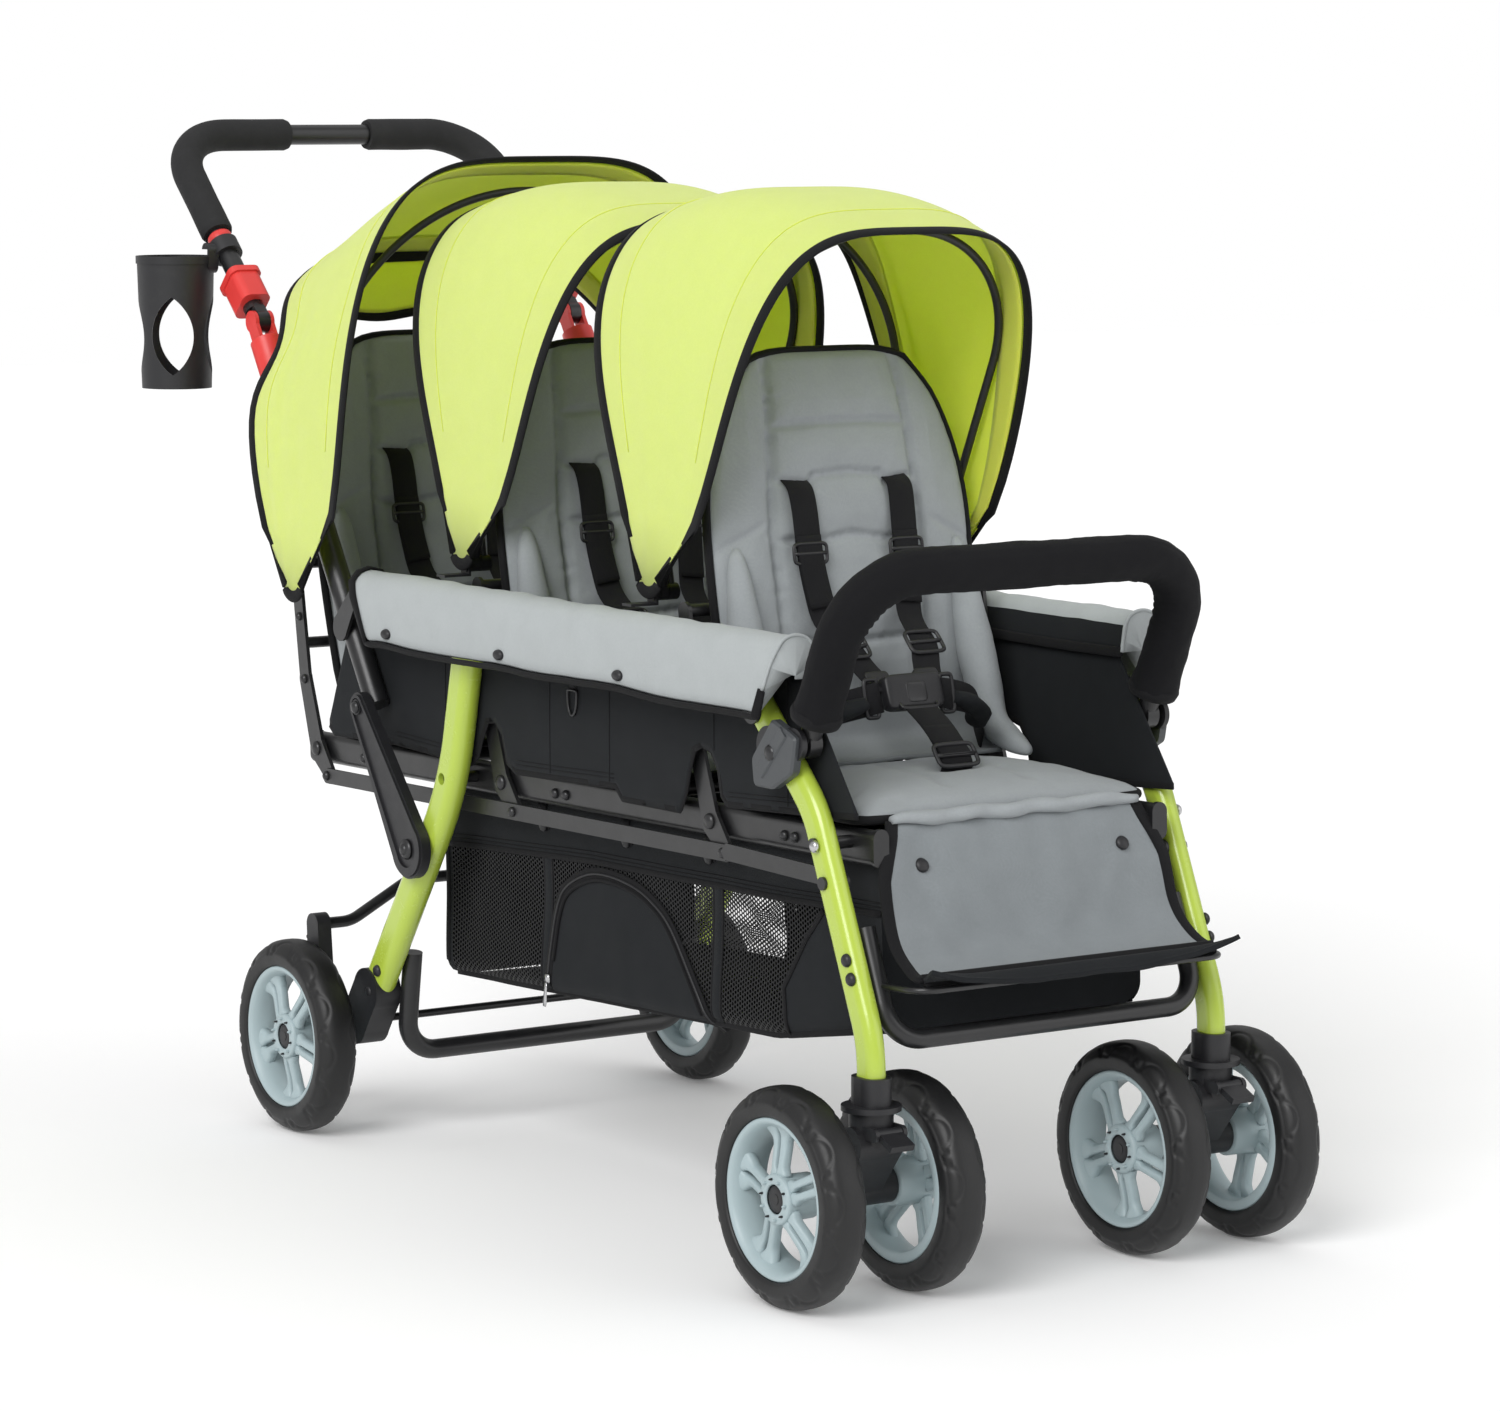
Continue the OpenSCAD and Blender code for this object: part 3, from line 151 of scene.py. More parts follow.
def smoothPath(pts, per=6, closed=False):  # a curve through all the points
    pts = [Vector(p) for p in pts]
    n = len(pts)
    out = []
    for i in range(n if closed else n - 1):
        p1, p2 = pts[i], pts[(i + 1) % n]
        p0 = pts[i - 1] if (i > 0 or closed) else 2 * p1 - p2
        p3 = pts[(i + 2) % n] if (i + 2 < n or closed) else 2 * p2 - p1
        for k in range(per):
            t = k / per
            out.append(0.5 * ((2 * p1) + (p2 - p0) * t + (2 * p0 - 5 * p1 + 4 * p2 - p3) * t * t
                              + (3 * p1 - p0 - 3 * p2 + p3) * t ** 3))
    if not closed:
        out.append(pts[-1])
    return out


def sweep(name, pts, profile, mat, closed=False, up=None, sizes=None, soft=True):
    # profile points are (side, lift); up is one direction or one for each point
    pts = [Vector(p) for p in pts]
    n = len(pts)
    rings = []
    side = None
    for i, p in enumerate(pts):
        a = pts[i - 1] if (i > 0 or closed) else p
        b = pts[(i + 1) % n] if (i < n - 1 or closed) else p
        t = (b - a).normalized()
        if up is not None:
            u = Vector(up[i] if isinstance(up, list) else up)
            s = t.cross(u)
            if s.length > 1e-6:
                side = s.normalized()
        else:
            if side is None:
                ref = Vector((0, 0, 1)) if abs(t.z) < 0.9 else Vector((0, 1, 0))
                side = t.cross(ref).normalized()
            side = (side - t * side.dot(t)).normalized()
        lift = side.cross(t)
        k = sizes[i] if sizes else 1
        rings.append([p + side * (x * k) + lift * (y * k) for x, y in profile])
    m = len(profile)
    verts = [v for r in rings for v in r]
    faces = gridFaces(n, m, closed, True)
    if not closed:
        faces.append(list(range(m)))
        faces.append([(n - 1) * m + j for j in reversed(range(m))])
    return fixNormals(newMesh(name, verts, faces, mat, soft))


def oval(w, h, n=10):
    return [(w * cos(a), h * sin(a)) for a in [2 * pi * k / n for k in range(n)]]


def circle(r, n=10):
    return oval(r, r, n)


def flat(w, t):  # the cross-section of a strap
    e = t * 0.4
    return [(-w / 2, -t / 2 + e), (-w / 2 + e, -t / 2), (w / 2 - e, -t / 2), (w / 2, -t / 2 + e),
            (w / 2, t / 2 - e), (w / 2 - e, t / 2), (-w / 2 + e, t / 2), (-w / 2, t / 2 - e)]


def lathe(name, profile, mat, centre, axis, steps):  # profile points are (radius, height)
    axis = Vector(axis).normalized()
    ref = Vector((0, 0, 1)) if abs(axis.z) < 0.9 else Vector((0, 1, 0))
    u = axis.cross(ref).normalized()
    v = axis.cross(u)
    verts, m = [], len(profile)
    for k in range(steps):
        a = 2 * pi * k / steps
        d = u * cos(a) + v * sin(a)
        verts += [Vector(centre) + d * r + axis * h for r, h in profile]
    return fixNormals(newMesh(name, verts, gridFaces(steps, m, True), mat))


def sleeve(name, pts, radius, mat, around):  # a soft tube; radius(distance, share, angle) in millimetres
    pts = [Vector(p) for p in pts]
    n = len(pts)
    side, run, verts = None, 0.0, []
    total = sum((b - a).length for a, b in zip(pts, pts[1:]))
    for i, p in enumerate(pts):
        t = (pts[min(n - 1, i + 1)] - pts[max(0, i - 1)]).normalized()
        if side is None:
            ref = Vector((0, 1, 0)) if abs(t.y) < 0.9 else Vector((1, 0, 0))
            side = t.cross(ref).normalized()
        side = (side - t * side.dot(t)).normalized()
        lift = side.cross(t)
        if i:
            run += (p - pts[i - 1]).length
        for k in range(around):
            a = 2 * pi * k / around
            r = radius(run * 1000, run / total, a) / 1000
            verts.append(p + side * (r * cos(a)) + lift * (r * sin(a)))
    faces = gridFaces(n, around, False, True)
    faces.append(list(range(around)))
    faces.append([(n - 1) * around + k for k in reversed(range(around))])
    return fixNormals(newMesh(name, verts, faces, mat))


def joined(name, obs):
    bm = bmesh.new()
    mats = []
    for o in obs:
        start = len(bm.faces)
        bm.from_mesh(o.data)
        bm.faces.ensure_lookup_table()
        for f in bm.faces[start:]:
            mat = o.data.materials[f.material_index]
            if mat not in mats:
                mats.append(mat)
            f.material_index = mats.index(mat)
    me = bpy.data.meshes.new(name)
    bm.to_mesh(me)
    bm.free()
    for mat in mats:
        me.materials.append(mat)
    for o in obs:
        bpy.data.objects.remove(o)
    return newObject(name, me)


def sharpen(ob, degrees=40):  # flat edges where the faces turn by more than this
    ob.data.polygons.foreach_set("use_smooth", [True] * len(ob.data.polygons))
    ob.data.set_sharp_from_angle(angle=radians(degrees))
    return ob


def place(ob, body, slot, *nodes):
    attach(ob, body)
    if nodes:
        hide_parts(*nodes)
    return ob


# materials: two surface groups, woven cloth and moulded skin, then one material for each finish
def newGroup(name, inputs, outputs):
    g = bpy.data.node_groups.new(name, "ShaderNodeTree")
    for label, kind, value in inputs:
        s = g.interface.new_socket(label, in_out="INPUT", socket_type=kind)
        s.default_value = value
    for label, kind in outputs:
        g.interface.new_socket(label, in_out="OUTPUT", socket_type=kind)
    return g, g.nodes.new("NodeGroupInput"), g.nodes.new("NodeGroupOutput")


def addNode(tree, kind, **values):
    n = tree.nodes.new(kind)
    for k, v in values.items():
        if k in n.inputs.keys():
            n.inputs[k].default_value = v
        else:
            setattr(n, k, v)
    return n


def setInputs(node, values):
    for k, v in values.items():
        node.inputs[k].default_value = v


def feed(tree, sock, x):  # link an output to a socket, or set the socket's own value
    if hasattr(x, "is_output"):
        tree.links.new(x, sock)
    else:
        sock.default_value = x


def mathNode(tree, op, a, b=None):
    n = tree.nodes.new("ShaderNodeMath")
    n.operation = op
    feed(tree, n.inputs[0], a)
    if b is not None:
        feed(tree, n.inputs[1], b)
    return n.outputs[0]


def colourMix(tree, fac, a, b):
    n = tree.nodes.new("ShaderNodeMix")
    n.data_type = "RGBA"
    for k, x in ((0, fac), (6, a), (7, b)):
        feed(tree, n.inputs[k], x)
    return n.outputs[2]


surfaceOutputs = [("Color", "NodeSocketColor"), ("Rough", "NodeSocketFloat"), ("Height", "NodeSocketFloat")]


def makeWeave():
    # plain woven cloth: crossed threads, slubs and a slow change of tone
    g, i, o = newGroup("clothWeave", [("Tint", "NodeSocketColor", (0.5, 0.5, 0.5, 1)),
                                      ("Shade", "NodeSocketColor", (0.3, 0.3, 0.3, 1)),
                                      ("Pitch", "NodeSocketFloat", 900.0), ("Mottle", "NodeSocketFloat", 40.0)],
                       surfaceOutputs)
    co = addNode(g, "ShaderNodeTexCoord").outputs["Object"]
    rot = addNode(g, "ShaderNodeMapping", Rotation=(0.35, 0.6, 0.2))
    g.links.new(co, rot.inputs["Vector"])
    waves = []
    for axis in ("X", "Y", "Z"):
        w = addNode(g, "ShaderNodeTexWave", wave_type="BANDS", bands_direction=axis, Distortion=0.6)
        g.links.new(rot.outputs[0], w.inputs["Vector"])
        g.links.new(i.outputs["Pitch"], w.inputs["Scale"])
        waves.append(w.outputs["Fac"])
    thread = mathNode(g, "MULTIPLY", mathNode(g, "MAXIMUM", waves[0], waves[1]), waves[2])
    slub = addNode(g, "ShaderNodeTexNoise", Scale=420.0, Detail=2.0)
    tone = addNode(g, "ShaderNodeTexNoise", Detail=3.0)
    g.links.new(co, slub.inputs["Vector"])
    g.links.new(co, tone.inputs["Vector"])
    g.links.new(i.outputs["Mottle"], tone.inputs["Scale"])
    fac = mathNode(g, "MULTIPLY", thread, 0.35)
    for part, share in ((slub, 0.4), (tone, 0.35)):
        fac = mathNode(g, "ADD", fac, mathNode(g, "MULTIPLY", part.outputs["Fac"], share))
    g.links.new(colourMix(g, fac, i.outputs["Shade"], i.outputs["Tint"]), o.inputs["Color"])
    rough = mathNode(g, "ADD", mathNode(g, "MULTIPLY", slub.outputs["Fac"], 0.15), 0.72)
    height = mathNode(g, "ADD", thread, mathNode(g, "MULTIPLY", slub.outputs["Fac"], 0.7))
    g.links.new(rough, o.inputs["Rough"])
    g.links.new(height, o.inputs["Height"])
    return g


def makeGrain():
    # moulded or sprayed skin: fine pebble, and scuffs that change its colour and gloss
    g, i, o = newGroup("mouldGrain", [("Tint", "NodeSocketColor", (0.02, 0.02, 0.02, 1)),
                                      ("Scuff", "NodeSocketColor", (0.06, 0.06, 0.06, 1)),
                                      ("Pebble", "NodeSocketFloat", 700.0), ("Rough", "NodeSocketFloat", 0.45),
                                      ("Wear", "NodeSocketFloat", 0.25)],
                       surfaceOutputs)
    co = addNode(g, "ShaderNodeTexCoord").outputs["Object"]
    pebble = addNode(g, "ShaderNodeTexNoise", Detail=3.0, Roughness=0.6)
    scuff = addNode(g, "ShaderNodeTexNoise", Scale=55.0, Detail=6.0, Roughness=0.7)
    for n in (pebble, scuff):
        g.links.new(co, n.inputs["Vector"])
    g.links.new(i.outputs["Pebble"], pebble.inputs["Scale"])
    mask = addNode(g, "ShaderNodeMapRange", **{"From Min": 0.56, "From Max": 0.8})
    g.links.new(scuff.outputs["Fac"], mask.inputs["Value"])
    worn = mathNode(g, "MULTIPLY", mask.outputs[0], i.outputs["Wear"])
    g.links.new(colourMix(g, worn, i.outputs["Tint"], i.outputs["Scuff"]), o.inputs["Color"])
    vary = mathNode(g, "MULTIPLY", mathNode(g, "SUBTRACT", scuff.outputs["Fac"], 0.5), 0.3)
    g.links.new(mathNode(g, "ADD", i.outputs["Rough"], vary), o.inputs["Rough"])
    g.links.new(pebble.outputs["Fac"], o.inputs["Height"])
    return g


clothWeave = makeWeave()
mouldGrain = makeGrain()


def finishMat(name, group, values, bump, depth, metallic=0.0, sheen=0.0, coat=0.0, specular=0.5, glow=0.0):
    mat = bpy.data.materials.new(name)
    mat.use_nodes = True
    t = mat.node_tree
    bsdf = t.nodes["Principled BSDF"]
    g = t.nodes.new("ShaderNodeGroup")
    g.node_tree = group
    setInputs(g, values)
    t.links.new(g.outputs["Color"], bsdf.inputs["Base Color"])
    t.links.new(g.outputs["Rough"], bsdf.inputs["Roughness"])
    b = addNode(t, "ShaderNodeBump", Strength=bump, Distance=depth)
    t.links.new(g.outputs["Height"], b.inputs["Height"])
    t.links.new(b.outputs[0], bsdf.inputs["Normal"])
    setInputs(bsdf, {"Metallic": metallic, "Sheen Weight": sheen, "Coat Weight": coat, "Coat Roughness": 0.25,
                     "Specular IOR Level": specular, "Subsurface Weight": glow,  # daylight through thin cloth
                     "Subsurface Radius": (0.9, 1.0, 0.3), "Subsurface Scale": 0.003})
    return mat


def cloth(name, tint, shade, pitch=900.0, sheen=0.15, bump=0.25, glow=0.0):
    return finishMat(name, clothWeave, {"Tint": (*tint, 1), "Shade": (*shade, 1), "Pitch": pitch, "Mottle": 40.0},
                     bump, 0.0006, sheen=sheen, specular=0.14, glow=glow)


def hard(name, tint, scuff, pebble=700.0, rough=0.45, wear=0.25, bump=0.08, metallic=0.0, coat=0.0):
    return finishMat(name, mouldGrain, {"Tint": (*tint, 1), "Scuff": (*scuff, 1), "Pebble": pebble,
                                        "Rough": rough, "Wear": wear}, bump, 0.0004, metallic, coat=coat)


limeCloth = cloth("limeCloth", (0.66, 0.77, 0.235), (0.57, 0.68, 0.175), sheen=0.1, glow=0.6)
# a brighter, more saturated copy of the lime cloth for the canopies' inner faces: painted light shining through the
# cloth
limeLitThrough = cloth("limeLitThrough", (0.80, 0.98, 0.12), (0.70, 0.88, 0.08), sheen=0.1, glow=0.9)
greyCloth = cloth("greyCloth", (0.375, 0.40, 0.415), (0.265, 0.285, 0.295))
paleCloth = cloth("paleCloth", (0.46, 0.49, 0.495), (0.345, 0.37, 0.375))
# a darker copy of the grey seat cloth for the calf panel: painted shade where less light reaches the panel
calfShadedGrey = cloth("calfShadedGrey", (0.265, 0.288, 0.302), (0.18, 0.198, 0.207))
blackCloth = cloth("blackCloth", (0.019, 0.021, 0.024), (0.008, 0.009, 0.010), sheen=0.03, bump=0.35)
sleeveCloth = cloth("sleeveCloth", (0.0095, 0.0095, 0.011), (0.005, 0.005, 0.006), sheen=0.02, bump=0.3)
binding = cloth("binding", (0.013, 0.013, 0.014), (0.007, 0.007, 0.008), pitch=1500.0, sheen=0.03)
webbing = cloth("webbing", (0.018, 0.018, 0.020), (0.007, 0.007, 0.008), pitch=600.0, bump=0.5, sheen=0.04)
limePaint = hard("limePaint", (0.43, 0.56, 0.06), (0.46, 0.59, 0.08), rough=0.24, wear=0.0, bump=0.01, coat=0.5)
blackPaint = hard("blackPaint", (0.011, 0.011, 0.012), (0.04, 0.04, 0.04), rough=0.36, coat=0.15)
blackPlastic = hard("blackPlastic", (0.014, 0.014, 0.016), (0.05, 0.05, 0.05), pebble=900.0, rough=0.46,
                    bump=0.12)
greyPlastic = hard("greyPlastic", (0.055, 0.06, 0.065), (0.09, 0.095, 0.10), pebble=900.0, rough=0.44,
                   bump=0.1)
redPlastic = hard("redPlastic", (0.70, 0.045, 0.040), (0.80, 0.12, 0.10), rough=0.38, wear=0.2)
rimPlastic = hard("rimPlastic", (0.37, 0.455, 0.475), (0.46, 0.53, 0.55), rough=0.42, wear=0.2, bump=0.05)
tyreFoam = hard("tyreFoam", (0.0065, 0.0065, 0.007), (0.02, 0.02, 0.02), pebble=350.0, rough=0.48, wear=0.3,
                bump=0.15)
gripFoam = hard("gripFoam", (0.012, 0.012, 0.013), (0.025, 0.025, 0.025), pebble=1100.0, rough=0.85, bump=0.5)
steel = hard("steel", (0.55, 0.55, 0.56), (0.40, 0.40, 0.41), rough=0.3, metallic=1.0, wear=0.4)
darkSteel = hard("darkSteel", (0.05, 0.05, 0.052), (0.12, 0.12, 0.12), rough=0.35, metallic=0.7)


netSpec = {"pitch": 0.0046, "open": -0.1}  # metres from hole to hole, and where the thread ends


def makeNet():  # open net: round holes in a honeycomb lattice
    mat = cloth("netCloth", (0.012, 0.012, 0.013), (0.006, 0.006, 0.007), bump=0.1)
    t = mat.node_tree
    co = addNode(t, "ShaderNodeSeparateXYZ")
    t.links.new(addNode(t, "ShaderNodeTexCoord").outputs["Object"], co.inputs["Vector"])
    pitch = 2 * pi / (netSpec["pitch"] * sqrt(0.75))
    along = mathNode(t, "MULTIPLY", mathNode(t, "ADD", co.outputs["X"], co.outputs["Y"]), pitch)
    half = mathNode(t, "MULTIPLY", along, 0.5)
    rise = mathNode(t, "MULTIPLY", co.outputs["Z"], pitch * sqrt(0.75))
    lines = (along, mathNode(t, "ADD", half, rise), mathNode(t, "SUBTRACT", half, rise))
    waves = [mathNode(t, "COSINE", w) for w in lines]
    total = mathNode(t, "ADD", mathNode(t, "ADD", waves[0], waves[1]), waves[2])
    thread = mathNode(t, "LESS_THAN", total, netSpec["open"])
    t.links.new(thread, t.nodes["Principled BSDF"].inputs["Alpha"])
    return mat


netCloth = makeNet()
cadFinish = {"front_legs": limePaint, "rear_legs": limePaint, "pole_catches": redPlastic,
             "latch_left": redPlastic, "latch_right": redPlastic}
for nodeName in ("caster_sockets", "cup_holder", "fold_links", "brake_pedals", "axle_brackets", "grab_bar_brackets",
                 "caster_fork_left", "caster_fork_right", "swivel_lock_left", "swivel_lock_right",
                 "canopy_fixed_bows", "canopy_bow_front", "canopy_bow_middle", "canopy_bow_rear"):
    cadFinish[nodeName] = blackPlastic
for nodeName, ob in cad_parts.items():
    mat = cadFinish.get(nodeName, blackPaint)
    ob.data.materials.clear()
    ob.data.materials.append(mat)
    sharpen(ob, 35)
print("materials done")


# canopies: one curved sheet each, stretched over a fixed and a turning bow
seatHood = {"half": 171, "rise": 378, "ahead": 173, "behind": 97, "shares": (0.9, 1, 0.94), "notch": 0,
            "lead": (0.28, 7), "trail": (0.12, 12, 1.8), "slack": 1.0}
canopySpec = {
    "front": {**seatHood, "tip": (395, 602), "bodies": ("frame", "front_bow"), "turn": ((455, 900), (245, 900))},
    "middle": {**seatHood, "tip": (740, 602), "bodies": ("frame", "middle_bow"), "turn": ((800, 900), (590, 900))},
    "rear": {"half": 226, "rise": 449, "ahead": 112, "behind": 89, "shares": (1, 0.9, 0.78), "notch": 42,
             "lead": (0.6, 9), "trail": (1, 3, 1), "slack": 2.4,
             "tip": (990, 552), "bodies": ("poles", "rear_bow"), "turn": ((1080, 900), (890, 900))},
}
canopyCut = {"rows": 33, "cols": 89, "round": 3.8, "thick": 0.0011, "bind": 0.0125, "channel": 0.16, "crease": 1.6,
             "tipHalf": 16, "tipRound": 11, "notchAt": (0.74, 0.13), "curtain": (150, 837)}


def canopyPoint(spec, t, a, drop=0.0):  # t goes from the front edge to the back one, a from tip to tip
    k = 2 / canopyCut["round"]
    c, s = cos(a), sin(a)
    g = max(0.0, c) ** k
    x = spec["half"] * signedPower(s, k)
    share, power = spec["lead"]
    front = -canopyCut["tipHalf"] - spec["ahead"] * (share * (1 - (1 - g) ** power) + (1 - share) * g)
    share, power, curve = spec["trail"]
    swell = share * (1 - (1 - g) ** power) + (1 - share) * sin(pi / 2 * min(1, g / 0.85)) ** curve
    height, spread = canopyCut["notchAt"]
    notch = spec["notch"] * exp(-((g - height) / spread) ** 2)
    back = canopyCut["tipHalf"] + spec["behind"] * swell - notch
    f, m, b = spec["shares"]
    rise = spec["rise"] * ((1 - t) * (1 - 2 * t) * f + 4 * t * (1 - t) * m + t * (2 * t - 1) * b)
    tip = canopyCut["tipRound"] * (1 - sqrt(max(0.0, 1 - (2 * t - 1) ** 2))) * smooth(0.12, 0, g)
    p = st(spec["tip"][0] + mix(front, back, t), spec["tip"][1] + rise * g + tip, x)
    mid = st(spec["tip"][0], spec["tip"][1] + rise * 0.45)
    out = p - mid
    out.y *= 0.25
    return p - out.normalized() * drop


def canopyCore(spec):  # a point under the crown that the cloth faces away from
    return st(spec["tip"][0], spec["tip"][1] + spec["rise"] * 0.4)


def canopyAngles(n):  # closer together at the crown's corners
    out = []
    for j in range(n):
        u = 2 * j / (n - 1) - 1
        out.append(pi / 2 * (0.55 * u + 0.45 * signedPower(u, 1.7)))
    return out


def canopyGrid(spec, t0, t1, rows, cols, drop=0.0, crease=0.0):
    grid = []
    for i in range(rows):
        t = mix(t0, t1, i / (rows - 1))
        row = []
        for a in canopyAngles(cols):
            p = canopyPoint(spec, t, a, drop)
            if crease:
                hold = min(1, 6 * min(t, 1 - t)) * cos(a) ** 0.35
                low = abs(a) / (pi / 2)
                n = wobble(p.x * 5, p.y * 9, p.z * 5)
                pull = wobble(t * 7 + spec["tip"][0], low * 1.1, copysign(2, a)) * smooth(0.45, 0.95, low)
                d = (n * 0.8 + pull * 1.5) * crease * spec["slack"] * hold / 1000
                p = p - (p - canopyCore(spec)).normalized() * (d + 0.0012 * hold)
            row.append(p)
        grid.append(row)
    return grid


def edgeNormals(grid, i, inner):
    out = []
    row, other = grid[i], grid[inner]
    for j, p in enumerate(row):
        a, b = row[max(0, j - 1)], row[min(len(row) - 1, j + 1)]
        n = (b - a).cross(other[j] - p)
        out.append(n.normalized() if n.length > 1e-9 else Vector((1 if j else -1, 0, 0)))
    return out


def makeCurtain(spec):  # back of the rear hood: a short curtain between the poles, with a taped hem
    half, foot = canopyCut["curtain"]
    cols, rows = 33, 9
    grid = []
    for j in range(cols):
        x = half * (2 * j / (cols - 1) - 1)
        a = asin((abs(x) / spec["half"]) ** (canopyCut["round"] / 2)) * (1 if x > 0 else -1)
        top = canopyPoint(spec, 1, a, 0.002)
        col = []
        for i in range(rows):
            u = i / (rows - 1)
            wave = wobble(x * 0.012, u * 1.5, 2.0) * 0.005 * u
            z = mix(top.z, (foot + 3 * cos(x * 0.05)) / 1000, u)
            col.append(Vector((top.x, top.y - 0.002 - 0.006 * sin(pi * u) + wave, z)))
        grid.append(col)
    # the curtain is all in the brighter lime: painted light shining through the cloth
    sheet = gridMesh("hoodCurtain", grid, limeLitThrough, 0.0011)
    tape = sweep("tape", [c[-1] for c in grid], flat(0.0125, 0.003), binding, up=(0, -1, 0))
    head = [c[0] + Vector((0, -0.002, -0.004)) for c in grid]
    headTape = sweep("tape", head, flat(0.013, 0.0026), binding, up=(0, -1, 0))
    trim = joined("hoodCurtainTape", [tape, headTape])
    place(sheet, "poles", "lime_cloth")
    place(trim, "poles", "black_cloth")


def makeCanopy(label, spec):
    cut = canopyCut
    n, last = cut["cols"], cut["rows"] - 1
    grid = canopyGrid(spec, 0, 1, cut["rows"], n, crease=cut["crease"])
    sheet = fixNormals(gridMesh("canopy." + label, grid, limeCloth, cut["thick"]))
    sheet.data.materials.append(limeLitThrough)
    # faces turned towards the inside of the crown take the brighter lime: painted light shining through the cloth
    for q in sheet.data.polygons:
        q.material_index = 1 if q.normal.dot(q.center - canopyCore(spec)) < 0 else 0
    rim = list(grid[0]) + [grid[i][-1] for i in range(1, last)] + list(reversed(grid[-1]))
    rim += [grid[i][0] for i in range(last - 1, 0, -1)]
    ups = edgeNormals(grid, 0, 1) + [Vector((1, 0, 0))] * (last - 1)
    ups += [-u for u in reversed(edgeNormals(grid, last, last - 1))] + [Vector((-1, 0, 0))] * (last - 1)
    trims = [sweep("canopyBinding." + label, rim, flat(cut["bind"], 0.0034), binding, closed=True, up=ups)]
    bands = []
    # the inner channel bands and the stitches also take the brighter lime with its painted light
    for t0, t1 in ((0.02, cut["channel"]), (1 - cut["channel"], 0.98)):
        bands.append(gridMesh("band", canopyGrid(spec, t0, t1, 5, n, drop=0.0031), limeLitThrough, 0.0008))
    seat = st(spec["tip"][0], spec["tip"][1] + 180)
    for t in (cut["channel"], 1 - cut["channel"]):
        line = canopyGrid(spec, t, t + 0.002, 2, n, crease=cut["crease"])[0]
        for lift in (0.0009, -0.0009):  # one row of stitches on each face
            pts = [p + (p - seat).normalized() * lift for p in line[3:-3]]
            bands.append(sweep("stitch", pts, circle(0.00045, 5), limeLitThrough))
    trims.append(joined("canopyChannels." + label, bands))
    a, b = spec["bodies"]
    for ob in [sheet] + trims:
        st(*spec["turn"][0])
        st(*spec["turn"][1])
        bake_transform(ob)
    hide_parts("canopy_" + label)
    area = sum(p.area for p in sheet.data.polygons) / 2  # both faces are counted
    middle = grid[last // 2]
    lengthOver = sum((a - b).length for a, b in zip(middle, middle[1:]))
    deep = max((a - b).length for a, b in zip(grid[0], grid[-1])) * 1.12  # chord to arc
    if spec["notch"]:
        makeCurtain(spec)
    print("canopy", label, "cut", round(lengthOver, 3), round(deep, 3), "area", round(area, 3))


for label, spec in canopySpec.items():
    makeCanopy(label, spec)
print("canopies done")


# seat pads and backs: swollen by the cloth solver once, then seamed and placed three times
seatNames = ("front", "middle", "rear")
seatSpec = {"pitch": 376, "lean": radians(8.5), "pivot": (290, 40, 402, 0.017615), "voxel": 0.0052,
            "pressure": 4.0, "cap": 0.006, "frames": 20}
padSpec = {"half": 164.5, "front": 55, "back": 274.5, "base": (418.5, 411.9, 405.2), "edge": 11, "crown": 30,
           "tape": 0.0088}
backSpec = {"half": 148.5, "foot": 68, "head": 434, "front": 20.0, "rear": 6.5, "edge": (3.5, 2.5), "tape": 0.0105}


def backPoint(i, x, along, v):
    c = seatSpec
    y = c["pivot"][0] + c["pitch"] * i
    z = c["pivot"][2] - (y - c["pivot"][1]) * c["pivot"][3]
    s, k = sin(c["lean"]), cos(c["lean"])
    return st(y + along * s + v * k, z + along * k - v * s, x)


def backHalf(t):
    return mix(0.93, 1, sin(pi * t)) if t < 0.5 else mix(1, 0.6, (2 * t - 1) ** 2.4)


def backCorner(s, t):  # how far the top corners are rounded off
    return 9 * abs(s) ** 5 * smooth(0.86, 1, t)


def voxelled(ob, size):
    m = ob.modifiers.new("remesh", "REMESH")
    m.mode = "VOXEL"
    m.voxel_size = size
    m.use_smooth_shade = True
    return applyMods(ob)


def puffed(ob, held):  # held gives 1 where the cloth is sewn down
    voxelled(ob, seatSpec["voxel"])
    rest = [v.co.copy() for v in ob.data.vertices]
    holds = [held(p) for p in rest]
    group = ob.vertex_groups.new(name="sewn")
    for k, h in enumerate(holds):
        group.add([k], h, "REPLACE")
    m = ob.modifiers.new("cloth", "CLOTH")
    m.settings.quality = 4
    m.settings.mass = 0.2
    m.settings.tension_stiffness = m.settings.compression_stiffness = 12
    m.settings.shear_stiffness = 4
    m.settings.bending_stiffness = 0.4
    m.settings.use_pressure = True
    m.settings.uniform_pressure_force = seatSpec["pressure"]
    m.settings.effector_weights.gravity = 0
    m.settings.vertex_group_mass = "sewn"
    m.point_cache.frame_start, m.point_cache.frame_end = 1, seatSpec["frames"]
    for f in range(1, seatSpec["frames"] + 1):
        scene.frame_set(f)
    dg = bpy.context.evaluated_depsgraph_get()
    moved = [v.co.copy() for v in ob.evaluated_get(dg).data.vertices]
    ob.modifiers.clear()
    ob.vertex_groups.clear()
    scene.frame_set(1)
    for v, p, q in zip(ob.data.vertices, rest, moved):
        d = q - p
        v.co = p + (d if d.length < seatSpec["cap"] else d.normalized() * seatSpec["cap"])
    return subdivide(ob)


def segmentGap(x, y, line):  # distance to a polyline and the share of the way along it
    total = sum(dist(a, b) for a, b in zip(line, line[1:]))
    best, at, run = 1e9, 0.0, 0.0
    for (ax, ay), (bx, by) in zip(line, line[1:]):
        dx, dy = bx - ax, by - ay
        l2 = dx * dx + dy * dy
        u = min(1, max(0, ((x - ax) * dx + (y - ay) * dy) / l2))
        d = hypot(x - ax - u * dx, y - ay - u * dy)
        if d < best:
            best, at = d, (run + u * sqrt(l2)) / total
        run += sqrt(l2)
    return best, at


